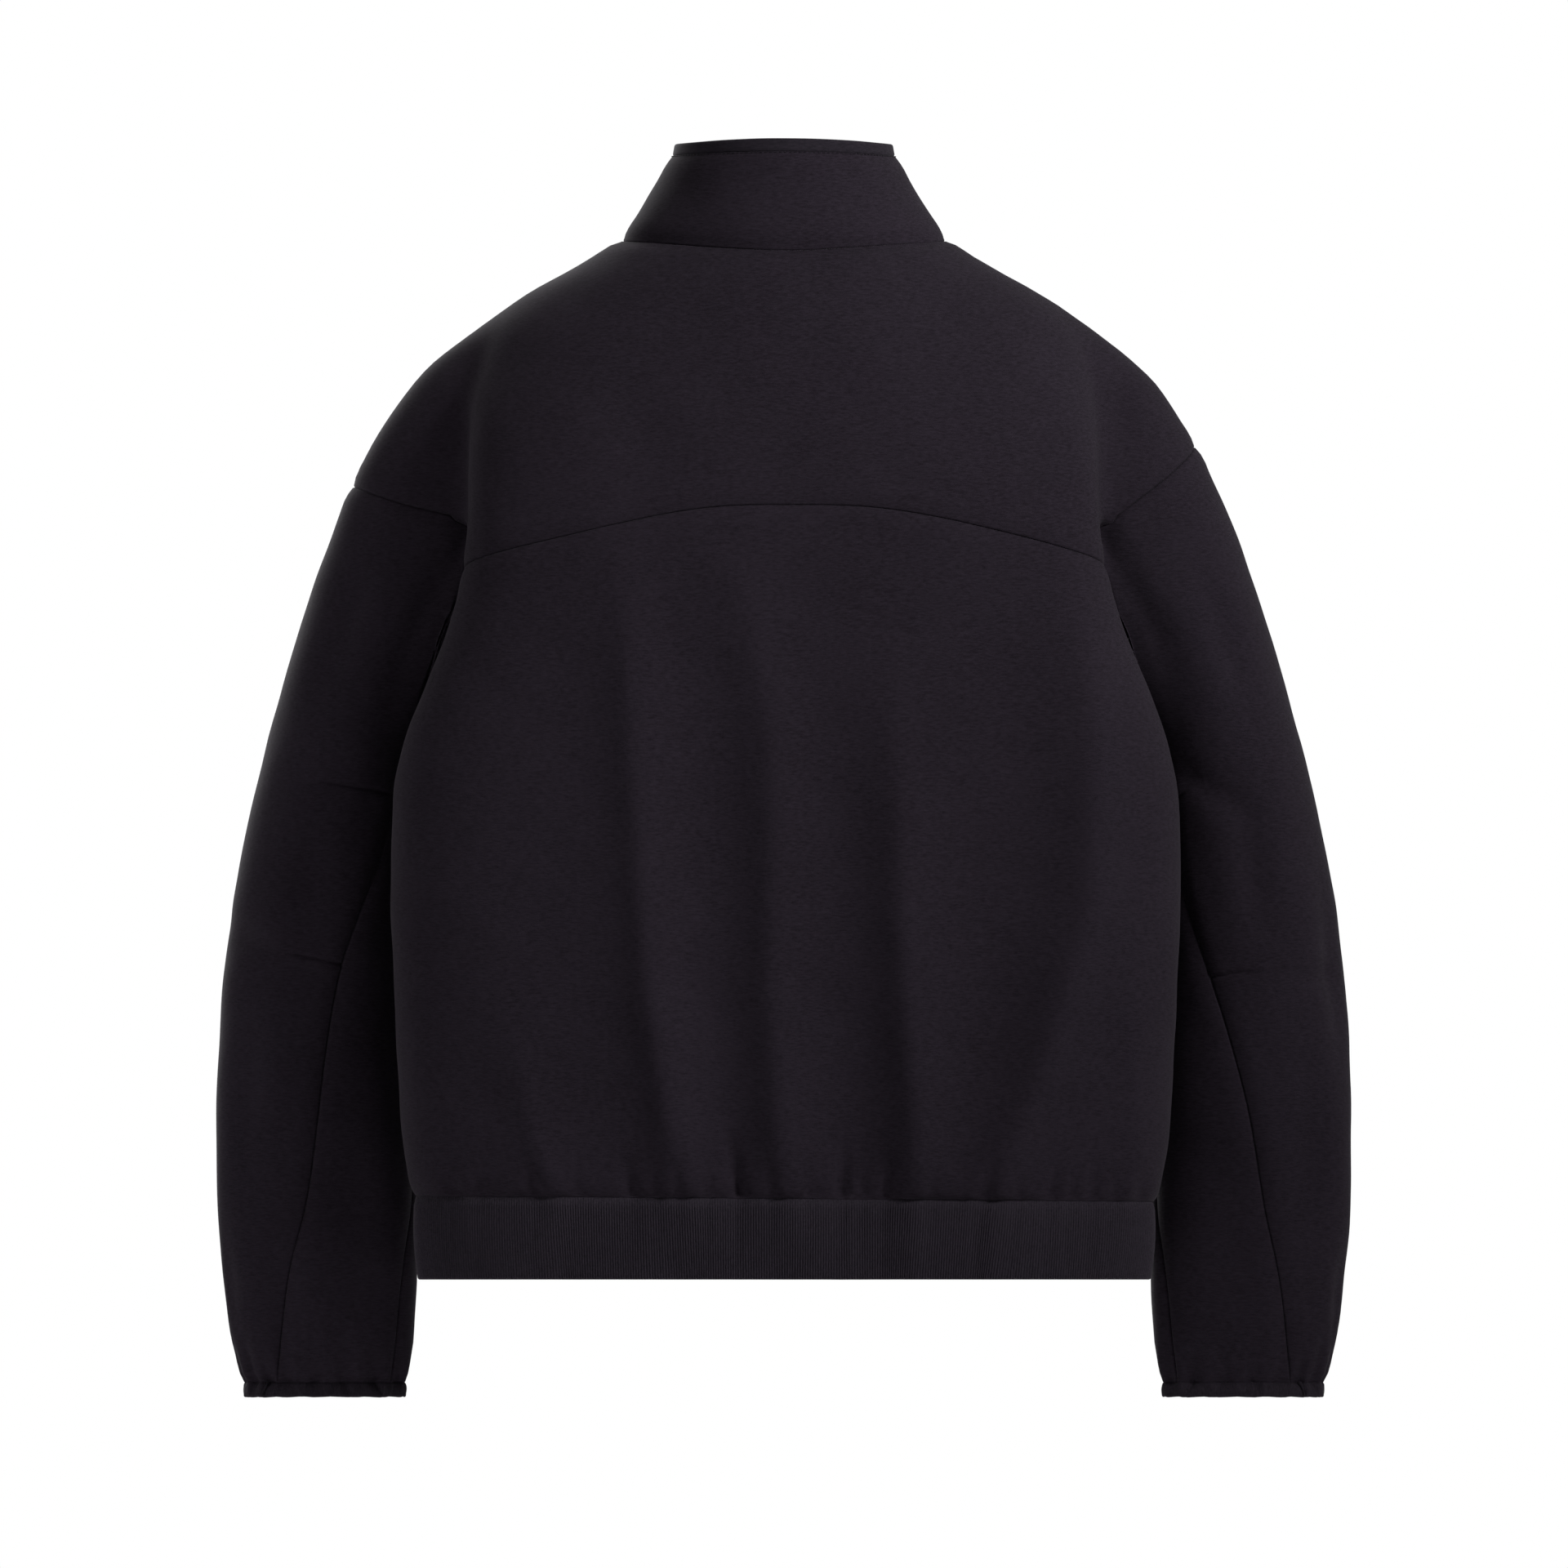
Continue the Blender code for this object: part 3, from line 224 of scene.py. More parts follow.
SLEEVE = rows_as(
    SleeveSection,
    (-0.1250, 0.2520, 0.166, -0.016, 0.054),
    (-0.1510, 0.2645, 0.172, -0.019, 0.057),
    (-0.1785, 0.2760, 0.180, -0.025, 0.060),
    (-0.2085, 0.2870, 0.188, -0.033, 0.062),
    (-0.2385, 0.2965, 0.197, -0.042, 0.063),
    (-0.2685, 0.3055, 0.205, -0.049, 0.063),
    (-0.2985, 0.3140, 0.212, -0.054, 0.062),
    (-0.3435, 0.3250, 0.218, -0.059, 0.060),
    (-0.3885, 0.3345, 0.222, -0.062, 0.057),
    (-0.4335, 0.3410, 0.224, -0.064, 0.053),
    (-0.4785, 0.3455, 0.225, -0.065, 0.049),
    (-0.5385, 0.3475, 0.225, -0.064, 0.043),
    (-0.5835, 0.3470, 0.225, -0.066, 0.037),
    (-0.6285, 0.3440, 0.2245, -0.067, 0.034),
    (-0.6585, 0.3407, 0.2257, -0.068, 0.030),
    (-0.6885, 0.3357, 0.2283, -0.068, 0.0245),
    (-0.7005, 0.3318, 0.2298, -0.068, 0.0210),
    (-0.7085, 0.3305, 0.2312, -0.068, 0.0200),
)
# The armhole's stretches, as (degrees about the upright line from the wearer's left, height)
ARMHOLE_BACK_CAP = {
    Side.LEFT: (
        (-6.0, -0.1525), (-2.0, -0.1510), (3.2, -0.1530), (6.0, -0.1570), (9.2, -0.1630),
        (12.3, -0.1695),
    ),
    Side.RIGHT: (
        (-6.0, -0.1290), (-2.0, -0.1260), (3.6, -0.1310), (6.8, -0.1400), (9.8, -0.1530),
        (12.3, -0.1695),
    ),
}
ARMHOLE_YOKE_SIDE = ((12.3, -0.1695), (12.7, -0.1860), (12.3, -0.2050))
ARMHOLE_LOWER_SIDE = (
    (12.3, -0.205), (11.0, -0.222), (8.0, -0.243), (3.5, -0.258), (-3.0, -0.268),
)
ARMHOLE_FRONT_CAP = {
    Side.LEFT: ((-6.0, -0.1525), (-10.0, -0.1570), (-13.5, -0.1630), (-17.0, -0.1730)),
    Side.RIGHT: ((-6.0, -0.1290), (-10.0, -0.1410), (-13.5, -0.1550), (-17.0, -0.1730)),
}
ARMHOLE_FRONT_SIDE = (
    (-17.0, -0.173), (-20.0, -0.189), (-21.5, -0.210), (-19.0, -0.235), (-12.0, -0.257),
    (-3.0, -0.268),
)
SHOULDER = rows_as(
    ShoulderRow,
    (-30.0, -6.0, 0.00, 0.00, -0.0058, -0.0620),
    (-27.0, 0.0, 0.11, 0.14, -0.0200, -0.0745),
    (-24.0, 4.0, 0.23, 0.29, -0.0360, -0.0875),
    (-20.5, 7.0, 0.36, 0.44, -0.0530, -0.1010),
    (-16.5, 9.3, 0.51, 0.59, -0.0700, -0.1150),
    (-12.5, 11.0, 0.67, 0.73, -0.0870, -0.1295),
    (-9.0, 12.0, 0.84, 0.87, -0.1040, -0.1445),
)
# The elbow seam by its distance from the body's middle, and the inner seam by its angle
ELBOW_SEAM = {
    Side.LEFT: rows_as(
        SeamPoint,
        (-0.235, 0.218), (-0.300, 0.228), (-0.363, 0.241), (-0.409, 0.258), (-0.443, 0.270),
        (-0.482, 0.278), (-0.588, 0.292), (-0.640, 0.305), (-0.709, 0.3115),
    ),
    Side.RIGHT: rows_as(
        SeamPoint,
        (-0.235, 0.219), (-0.330, 0.232), (-0.399, 0.243), (-0.428, 0.252), (-0.475, 0.268),
        (-0.538, 0.285), (-0.593, 0.294), (-0.640, 0.304), (-0.709, 0.3115),
    ),
}
INNER_SEAM = rows_as(
    SeamPoint,
    (-0.268, 190.0), (-0.450, 182.0), (-0.560, 172.0), (-0.600, 162.0), (-0.640, 148.0),
    (-0.709, 144.0),
)
COLLAR = rows_as(
    CollarRing,
    (0.00, 0.0995, 0.0590, -0.0800),
    (0.16, 0.0935, 0.0590, -0.0815),
    (0.36, 0.0860, 0.0570, -0.0825),
    (0.62, 0.0768, 0.0530, -0.0835),
    (0.88, 0.0692, 0.0490, -0.0840),
    (1.00, 0.0668, 0.0475, -0.0840),
)


def smooth_step(share: Array | float) -> Array:
    """0 below 0, 1 above 1, and an even rise between."""
    share = np.clip(share, 0.0, 1.0)
    return share * share * (3 - 2 * share)


def bell(distance: Array) -> Array:
    """1 at distance 0, fading evenly to 0 at about 2."""
    return np.exp(-(distance**2))


def unit(vectors: Array) -> Array:
    """The vectors at length 1."""
    return vectors / np.maximum(np.linalg.norm(vectors, axis=-1, keepdims=True), TINY)


def row_sums(products: Array) -> Array:
    """Each row's sum, as a column."""
    return np.sum(products, axis=1, keepdims=True)


class Table:
    """Sections by height, read on a smooth curve through them."""

    def __init__(self, rows: Sequence[NamedTuple]) -> None:
        """Keeps the rows' columns in the order of their heights.

        Args:
            rows: Sections that all have a field z.
        """
        ordered = sorted(rows, key=lambda row: row.z)
        self.z = np.array([row.z for row in ordered])
        self.columns = {
            name: np.array([getattr(row, name) for row in ordered])
            for name in ordered[0]._fields
            if name != "z"
        }

    def at(self, column: str, z: Array | float) -> Array:
        """Reads a column.

        Args:
            column: The field's name.
            z: Heights.

        Returns:
            The column's values at those heights.
        """
        heights, values = self.z, self.columns[column]
        rises = np.diff(values) / np.diff(heights)
        before, after = rises[:-1], rises[1:]
        same_way = before * after > 0
        both = np.where(same_way, before + after, 1.0)
        shared = np.where(same_way, 2 * before * after / both, 0.0)
        slopes = np.concatenate([rises[:1], shared, rises[-1:]])
        z = np.clip(z, heights[0], heights[-1])
        cell = np.clip(np.searchsorted(heights, z) - 1, 0, len(heights) - 2)
        step = heights[cell + 1] - heights[cell]
        t = (z - heights[cell]) / step
        return (
            values[cell] * (1 + 2 * t) * (1 - t) ** 2
            + values[cell + 1] * t**2 * (3 - 2 * t)
            + step * slopes[cell] * t * (1 - t) ** 2
            - step * slopes[cell + 1] * t**2 * (1 - t)
        )


def resample(points: Array, count: int, keys: Array | None = None) -> Array:
    """Spaces points evenly along a curve.

    Args:
        points: The curve.
        count: The number of steps.
        keys: Values at the curve's points, to give instead of the points.

    Returns:
        count + 1 points, or the keys there.
    """
    steps = np.linalg.norm(np.diff(points, axis=0), axis=1)
    travelled = np.concatenate([[0.0], np.cumsum(steps)])
    at = np.linspace(0.0, travelled[-1], count + 1)
    values = points if keys is None else keys
    return np.stack([np.interp(at, travelled, column) for column in values.T], axis=1)


@dataclass
class BodyForm:
    """The body's smooth outer face, by the angle about an upright line and the height."""

    pole_y: float = -0.010
    union_power: float = 16.0
    lobe_squareness: float = 7.0
    nearest: float = 0.02
    farthest: float = 0.45
    halvings: int = 34
    torso: Table = field(default_factory=lambda: Table(TORSO))
    lobe: Table = field(default_factory=lambda: Table(LOBE))

    def torso_gauge(self, x: Array, y: Array, z: Array) -> Array:
        """How far out (x, y) is on the torso's section at z: 1 is on it."""
        middle = self.torso.at("widest_y", z)
        behind = y >= middle
        back, front = self.torso.at("back", z), self.torso.at("front", z)
        depth = np.where(behind, back - middle, middle - front)
        squares = self.torso.at("back_square", z), self.torso.at("front_square", z)
        square = np.where(behind, *squares)
        across = np.abs(x / self.torso.at("half_width", z)) ** square
        return (across + np.abs((y - middle) / depth) ** square) ** (1 / square)

    def lobe_gauge(self, x: Array, y: Array, z: Array) -> Array:
        """How far out (x, y) is on the shoulder lobes' section at z: 1 is on it."""
        middle = self.lobe.at("middle_y", z)
        depths = self.lobe.at("back_depth", z), self.lobe.at("front_depth", z)
        depth = np.where(y >= middle, *depths)
        across = np.abs(x / self.lobe.at("reach", z)) ** self.lobe_squareness
        return np.sqrt(across + ((y - middle) / depth) ** 2)

    def points(self, degrees: Array, z: Array) -> Array:
        """Finds points on the body.

        Args:
            degrees: Angles from the wearer's left, over the back.
            z: Heights.

        Returns:
            The points, one for each angle.
        """
        angle = np.radians(np.asarray(degrees, float))
        z = np.asarray(z, float) + 0 * angle
        near, far = np.full(angle.shape, self.nearest), np.full(angle.shape, self.farthest)
        for _ in range(self.halvings):
            middle = (near + far) / 2
            x, y = middle * np.cos(angle), self.pole_y + middle * np.sin(angle)
            torso, lobe = self.torso_gauge(x, y, z), self.lobe_gauge(x, y, z)
            inside = torso**-self.union_power + lobe**-self.union_power > 1
            near, far = np.where(inside, middle, near), np.where(inside, far, middle)
        return np.stack([near * np.cos(angle), self.pole_y + near * np.sin(angle), z], axis=-1)


@dataclass
class SleeveForm:
    """The left sleeve's smooth outer face, by the angle from outside over the back and the height."""

    table: Table = field(default_factory=lambda: Table(SLEEVE))
    inner_seam: Table = field(default_factory=lambda: Table(INNER_SEAM))
    elbow_seams: dict[Side, Table] = field(
        default_factory=lambda: {side: Table(rows) for side, rows in ELBOW_SEAM.items()}
    )

    def middle_x(self, z: Array) -> Array:
        """The middle of the sleeve across, at heights z."""
        return (self.table.at("outer", z) + self.table.at("inner", z)) / 2

    def half_width(self, z: Array) -> Array:
        """Half of the sleeve's width across, at heights z."""
        return (self.table.at("outer", z) - self.table.at("inner", z)) / 2

    def points(self, degrees: Array, z: Array) -> Array:
        """Points at angles in degrees and heights z."""
        angle = np.radians(degrees)
        x = self.middle_x(z) + self.half_width(z) * np.cos(angle)
        y = self.table.at("middle_y", z) + self.table.at("depth", z) * np.sin(angle)
        return np.stack([x, y, z + 0 * angle], axis=-1)

    def degrees(self, points: Array) -> Array:
        """The angles at which points lie."""
        x, y, z = points.T
        across = (x - self.middle_x(z)) / self.half_width(z)
        along = (y - self.table.at("middle_y", z)) / self.table.at("depth", z)
        return np.degrees(np.arctan2(along, across)) % 360.0

    def elbow_degrees(self, side: Side, z: Array) -> Array:
        """The angle of the elbow seam at height z."""
        across = (self.elbow_seams[side].at("at", z) - self.middle_x(z)) / self.half_width(z)
        return np.degrees(np.arccos(across))


def quads_of(*nets: Array) -> Array:
    """The faces of nets of point numbers, in the order that points them outwards."""
    faces = [
        np.stack([net[:-1, :-1], net[1:, :-1], net[1:, 1:], net[:-1, 1:]], axis=-1)
        for net in nets
    ]
    return np.concatenate([block.reshape(-1, 4) for block in faces])


def closed(net: Array) -> Array:
    """A net whose last column is its first again."""
    return np.concatenate([net, net[:, :1]], axis=1)


def joined(*stretches: Array) -> Array:
    """Stretches of one row as one, each starting where the last one ends."""
    return np.concatenate([stretches[0], *(stretch[1:] for stretch in stretches[1:])])


def for_side(keys: Array, side: Side) -> Array:
    """Samples (angle, z) of the wearer's left, on the side asked for."""
    return keys if side is Side.LEFT else np.stack([180.0 - keys[:, 0], keys[:, 1]], axis=1)


@dataclass
class Pattern:
    """The cut pieces as patches of one coarse net of points, on the smooth outer face."""

    body: BodyForm = field(default_factory=BodyForm)
    sleeve: SleeveForm = field(default_factory=SleeveForm)
    back_columns: int = 56
    front_columns: int = 36
    back_cap_columns: int = 6
    front_cap_columns: int = 4
    yoke_side_rows: int = 3
    lower_side_rows: int = 5
    body_rows: int = 22
    sleeve_rows: int = 24
    first_level_row: int = 8
    under_sleeve_columns: int = 4
    collar_rows: int = 4
    hem_rows: int = 2
    row_samples: int = 301
    armhole_samples: int = 240
    armhole_smoothing: int = 60
    yoke_armhole_middle: float = -0.1210
    front_armhole_middle: float = -0.1600
    neck_seam_drop: float = -0.005
    neckline_power: float = 1.7
    front_cap_angle: float = 10.0
    yoke_seam_middle: float = -0.1625
    yoke_seam_powers: Pair = (1.55, 1.85)
    armpit_back_middle: float = -0.2500
    armpit_front_middle: float = -0.2720
    highest_level: float = -0.292
    armhole_falloff: float = 0.110
    torso_clearance: float = 0.022
    clearance_ramp: float = 0.020
    clearance_steps: int = 4
    sleeve_crowding: float = 1.5
    collar_settles_at: float = 0.5
    collar_band_share: float = 0.89
    collar_middle_y: float = -0.016
    rim_back: float = 0.0620
    rim_side: float = 0.0585
    rim_front: float = 0.0200
    points: Array = field(default_factory=lambda: np.empty((0, 3)))
    patches: dict[str, Array] = field(default_factory=dict)

    def add(self, points: Array) -> Array:
        """Adds points and gives their numbers."""
        first = len(self.points)
        self.points = np.concatenate([self.points, points])
        return np.arange(first, len(self.points))

    def armhole(self, keys: Sequence[Pair], count: int, side: Side) -> Array:
        """Samples a stretch of an armhole.

        Args:
            keys: Its points, as (degrees, height) on the left.
            count: The number of steps.
            side: The wearer's side.

        Returns:
            count + 1 samples (degrees, height), evenly spaced on the body.
        """
        path = np.array(keys, float)
        dense = np.linspace(0, len(path) - 1, self.armhole_samples)
        number = np.arange(len(path))
        path = np.stack([np.interp(dense, number, column) for column in path.T], axis=1)
        for _ in range(self.armhole_smoothing):
            path[1:-1] = (path[:-2] + 2 * path[1:-1] + path[2:]) / 4
        return for_side(resample(self.body.points(*path.T), count, path), side)

    def shoulder_seam(self, side: Side) -> Array:
        """The shoulder seam's samples (degrees, height), from the neck towards the armhole."""
        drop = ARMHOLE_BACK_CAP[side][0][1] - self.neck_seam_drop
        keys = [(row.seam_angle, self.neck_seam_drop + drop * row.seam_share) for row in SHOULDER]
        return for_side(np.array(keys), side)

    def stretch(
        self, first: float, last: float, count: int, heights: Callable[[Array], Array]
    ) -> Array:
        """A stretch of a row between two angles, as count + 1 evenly spaced points."""
        angle = np.linspace(first, last, self.row_samples)
        return resample(self.body.points(angle, heights(angle)), count)

    @staticmethod
    def nearer_edge(left: Array, right: Array, turned: Array) -> tuple[Array, Array, Array]:
        """Which angles in radians are on the left, and the edge's angle and height for each."""
        on_left = np.cos(turned) >= 0
        edge_angle = np.radians(np.where(on_left, left[0], right[0]))
        return on_left, edge_angle, np.where(on_left, left[1], right[1])

    def over_panel(
        self, left: Array, right: Array, middle: float, powers: Pair = (1.0, 1.0)
    ) -> Callable[[Array], Array]:
        """The heights of a row over the back or the front, between two edge samples.

        Args:
            left: Its edge sample (degrees, height) on the left.
            right: The one on the right.
            middle: Its height in the middle.
            powers: How late it rises on the left and right.

        Returns:
            A function of angles in degrees.
        """

        def heights(angle: Array) -> Array:
            """Heights at angles in degrees."""
            turned = np.radians(angle)
            on_left, edge_angle, edge = self.nearer_edge(left, right, turned)
            across = np.cos(turned) ** 2 / np.cos(edge_angle) ** 2
            return middle + (edge - middle) * across ** np.where(on_left, *powers)

        return heights

    def over_shoulders(
        self, left: Array, right: Array, middle: float, ridges: Pair
    ) -> Callable[[Array], Array]:
        """The heights of a row over the back that starts in front of the shoulders' ridges.

        Args:
            left: Its edge sample (degrees, height) on the left.
            right: The one on the right.
            middle: Its height in the middle.
            ridges: Its heights on the left and right ridge.

        Returns:
            A function of angles in degrees.
        """

        def heights(angle: Array) -> Array:
            """Heights at angles in degrees."""
            turned = np.radians(angle)
            on_left, edge_angle, edge = self.nearer_edge(left, right, turned)
            ridge = np.where(on_left, *ridges)
            before = ridge + (edge - ridge) * (np.sin(turned) / np.sin(edge_angle)) ** 2
            after = middle + (ridge - middle) * np.cos(turned) ** 2
            return np.where(np.sin(turned) < 0, before, after)

        return heights

    def back_row(self, left: Array, right: Array, middle: float, arch: float = 0.0) -> Array:
        """A row over the back between two edge samples, arched as much as the yoke seam or less."""
        powers = tuple(1.0 + (power - 1.0) * arch for power in self.yoke_seam_powers)
        heights = self.over_panel(left, right, middle, powers)
        return self.stretch(left[0], right[0], self.back_columns, heights)

    def front_row(self, left: Array, right: Array, middle: float) -> Array:
        """A row over the front between two edge samples."""
        heights = self.over_panel(left, right, middle)
        return self.stretch(right[0], left[0] + 360.0, self.front_columns, heights)

    def shoulder_row(self, number: int) -> tuple[Array, Array]:
        """A row above the armholes: its stretch over the back and the one over the front.

        Args:
            number: The row's number, from the neck.

        Returns:
            The points of both stretches.
        """
        row = SHOULDER[number]
        left, right = (self.shoulder_seam(side)[number] for side in Side)
        ridges = tuple(ARMHOLE_BACK_CAP[side][1][1] * row.ridge_share for side in Side)
        power = self.neckline_power + (1.0 - self.neckline_power) * number / len(SHOULDER)
        behind = self.over_shoulders(left, right, row.back_middle, ridges)
        before = self.over_panel(left, right, row.front_middle, (power, power))
        back = joined(
            self.stretch(left[0], row.cap_angle, self.back_cap_columns, behind),
            self.stretch(row.cap_angle, 180.0 - row.cap_angle, self.back_columns, behind),
            self.stretch(180.0 - row.cap_angle, right[0], self.back_cap_columns, behind),
        )
        start = right[0] + self.front_cap_angle
        end = left[0] + 360.0 - self.front_cap_angle
        front = joined(
            self.stretch(right[0], start, self.front_cap_columns, before),
            self.stretch(start, end, self.front_columns, before),
            self.stretch(end, left[0] + 360.0, self.front_cap_columns, before),
        )
        return back, front

    def make_shoulders(self) -> tuple[Array, Array]:
        """Makes the body's nets above the armholes.

        Returns:
            The back's net and the front's net, which share their outer columns.
        """
        rows = [self.shoulder_row(number) for number in range(len(SHOULDER))]
        back_cap = [self.armhole(ARMHOLE_BACK_CAP[s], self.back_cap_columns, s) for s in Side]
        front_cap = [self.armhole(ARMHOLE_FRONT_CAP[s], self.front_cap_columns, s) for s in Side]
        back_end = joined(
            self.body.points(*back_cap[0].T),
            self.back_row(back_cap[0][-1], back_cap[1][-1], self.yoke_armhole_middle),
            self.body.points(*back_cap[1][::-1].T),
        )
        front_end = joined(
            self.body.points(*front_cap[1].T),
            self.front_row(front_cap[0][-1], front_cap[1][-1], self.front_armhole_middle),
            self.body.points(*front_cap[0][::-1].T),
        )
        back = np.stack([self.add(row) for row in [*(row[0] for row in rows), back_end]])
        front = np.stack([self.add(row) for row in [*(row[1] for row in rows), front_end]])
        front[:, 0], front[:, -1] = back[:, -1], back[:, 0]
        return back, front

    def make_body(self) -> tuple[Array, Array, dict[Side, Array]]:
        """Makes the body's patches.

        Returns:
            The loops of the neck, the hem seam and each armhole.
        """
        back_top, front_top = self.make_shoulders()
        front_side_rows = self.yoke_side_rows + self.lower_side_rows
        yoke_side = [self.armhole(ARMHOLE_YOKE_SIDE, self.yoke_side_rows, s) for s in Side]
        lower_side = [self.armhole(ARMHOLE_LOWER_SIDE, self.lower_side_rows, s) for s in Side]
        front_side = [self.armhole(ARMHOLE_FRONT_SIDE, front_side_rows, s) for s in Side]

        yoke_low = [back_top[-1, self.back_cap_columns : -self.back_cap_columns]]
        ends = (self.yoke_armhole_middle, self.yoke_seam_middle)
        yoke_low += self.rows_between(yoke_side, ends, (0.0, 1.0))
        lower = [yoke_low[-1]]
        ends = (self.yoke_seam_middle, self.armpit_back_middle)
        lower += self.rows_between(lower_side, ends, (1.0, 0.0))
        front = [front_top[-1, self.front_cap_columns : -self.front_cap_columns]]
        ends = (self.front_armhole_middle, self.armpit_front_middle)
        for row in range(1, front_side_rows + 1):
            middle = np.interp(row, (0, front_side_rows), ends)
            front.append(self.add(self.front_row(front_side[0][row], front_side[1][row], middle)))
        front[-1][0], front[-1][-1] = lower[-1][-1], lower[-1][0]
        self.make_rows_to_hem(lower_side[0][-1], lower, front)

        yoke_low, lower, front = np.stack(yoke_low), np.stack(lower), np.stack(front)
        self.patches["back_yoke"] = quads_of(back_top, yoke_low)
        self.patches["back_lower"] = quads_of(lower)
        self.patches["front"] = quads_of(front_top, front)
        neck = np.concatenate([back_top[0], front_top[0, 1:-1]])
        hem = np.concatenate([lower[-1], front[-1, 1:-1]])
        armholes = {}
        for side, way in ((Side.LEFT, 1), (Side.RIGHT, -1)):
            over_top = back_top[-1, ::way][: self.back_cap_columns + 1]
            yoke_edge = yoke_low[1:, ::way][:, 0]
            lower_edge = lower[1 : self.lower_side_rows + 1, ::way][:, 0]
            up_front = front[1:front_side_rows, ::way][::-1, -1]
            front_cap = front_top[-1, ::way][-self.front_cap_columns - 1 : -1]
            armholes[side] = np.concatenate([over_top, yoke_edge, lower_edge, up_front, front_cap])
        tilt = smooth_step((HEM_TILT_START - self.points[:, 2]) / HEM_TILT_RAMP)
        self.points[:, 2] += HEM_SEAM_TILT * self.points[:, 0] * tilt
        return neck, hem, armholes

    def rows_between(self, sides: Sequence[Array], middles: Pair, arches: Pair) -> list[Array]:
        """The back's rows down a stretch of both armholes, below its first one.

        Args:
            sides: The samples down the left and the right armhole.
            middles: The first and the last row's height in the middle.
            arches: How much those two are arched.

        Returns:
            The rows' point numbers.
        """
        steps = len(sides[0]) - 1
        rows = []
        for row in range(1, steps + 1):
            middle, arch = (np.interp(row, (0, steps), ends) for ends in (middles, arches))
            rows.append(self.add(self.back_row(sides[0][row], sides[1][row], middle, arch)))
        return rows

    def make_rows_to_hem(self, armpit: Array, lower: list[Array], front: list[Array]) -> None:
        """Adds the rows below the armpits to the back's and the front's lists of rows.

        Args:
            armpit: The left armpit's sample.
            lower: The back's rows.
            front: The front's.
        """
        for row in range(1, self.body_rows + 1):
            share = row / self.body_rows
            down = (1 + HEM_CROWDING) * share - HEM_CROWDING * share**3
            left = (armpit[0], armpit[1] + (HEM_SEAM - armpit[1]) * down)
            right = (180.0 - armpit[0], left[1])
            back_middle = self.armpit_back_middle + (HEM_SEAM - self.armpit_back_middle) * down
            front_middle = self.armpit_front_middle + (HEM_SEAM - self.armpit_front_middle) * down
            lower.append(self.add(self.back_row(left, right, back_middle)))
            front.append(self.add(self.front_row(left, right, front_middle)))
            front[-1][0], front[-1][-1] = lower[-1][-1], lower[-1][0]

    def make_sleeve(self, side: Side, loop: Array) -> None:
        """Makes a sleeve's patches and its cuff binding's, below the armhole's loop.

        Args:
            side: The wearer's side.
            loop: The armhole's point numbers.
        """
        start = self.points[loop] * side.mirror
        count = len(loop)
        inner_seam = self.back_cap_columns + self.yoke_side_rows + self.lower_side_rows
        elbow_seam = inner_seam - self.under_sleeve_columns
        first_angle = np.degrees(np.unwrap(np.radians(self.sleeve.degrees(start))))
        first_angle -= 360.0 * (first_angle[0] > 180.0)
        offset = start - self.sleeve.points(first_angle, start[:, 2])
        stations = (
            elbow_seam - count,
            inner_seam - count,
            elbow_seam,
            inner_seam,
            elbow_seam + count,
        )
        rows = [loop]
        for row in range(1, self.sleeve_rows + 1):
            share = row / self.sleeve_rows
            level = self.highest_level + (CUFF_SEAM - self.highest_level) * share**self.sleeve_crowding
            z = start[:, 2] + (level - start[:, 2]) * min(1.0, row / self.first_level_row)
            elbow = self.sleeve.elbow_degrees(side, z[elbow_seam])
            inner = self.sleeve.inner_seam.at("at", z[inner_seam])
            angles = (elbow - 360, inner - 360, elbow, inner, elbow + 360)
            even = np.interp(np.arange(count), stations, angles)
            turned = smooth_step(row / self.first_level_row)
            angle = first_angle + (even - first_angle) * turned
            fade = 1.0 - smooth_step((start[:, 2] - z) / self.armhole_falloff)
            points = self.sleeve.points(angle, z) + offset * fade[:, None]
            rows.append(self.add(self.clear_of_torso(points, start[:, 2] - z) * side.mirror))
        seam = rows[-1]
        top = self.points[seam] * side.mirror
        edge = self.sleeve.points(self.sleeve.degrees(top), np.full(count, CUFF_EDGE))
        binding = closed(np.stack([seam, self.add(edge * side.mirror)]))
        net = np.stack(rows)
        under = net[:, elbow_seam : inner_seam + 1]
        upper = np.concatenate([net[:, inner_seam:], net[:, : elbow_seam + 1]], axis=1)
        way = 1 if side is Side.LEFT else -1
        self.patches[f"upper_sleeve_{side.value}"] = quads_of(upper[:, ::way])
        self.patches[f"under_sleeve_{side.value}"] = quads_of(under[:, ::way])
        self.patches[f"cuff_binding_{side.value}"] = quads_of(binding[:, ::way])

    def clear_of_torso(self, points: Array, below: Array) -> Array:
        """Sleeve points, moved outwards where they would lie in the torso or too close beside it.

        Args:
            points: Points of the left sleeve.
            below: How far below the armhole they lie.

        Returns:
            The points, clear of the torso.
        """
        x, y, z = points.T
        wanted = 1.0 + self.torso_clearance * np.clip(below / self.clearance_ramp, 0.0, 1.0)
        for _ in range(self.clearance_steps):
            x = x * np.maximum(1.0, wanted / np.maximum(self.body.torso_gauge(x, y, z), 0.5))
        return np.stack([x, y, z], axis=-1)

    def collar_oval(self, ring: CollarRing, angle: Array) -> Array:
        """A level oval of the collar at the given angles, as (x, y)."""
        behind, before = ring.back - self.collar_middle_y, self.collar_middle_y - ring.front
        depth = np.where(np.sin(angle) >= 0, behind, before)
        y = self.collar_middle_y + depth * np.sin(angle)
        return np.stack([ring.half_width * np.cos(angle), y], axis=-1)

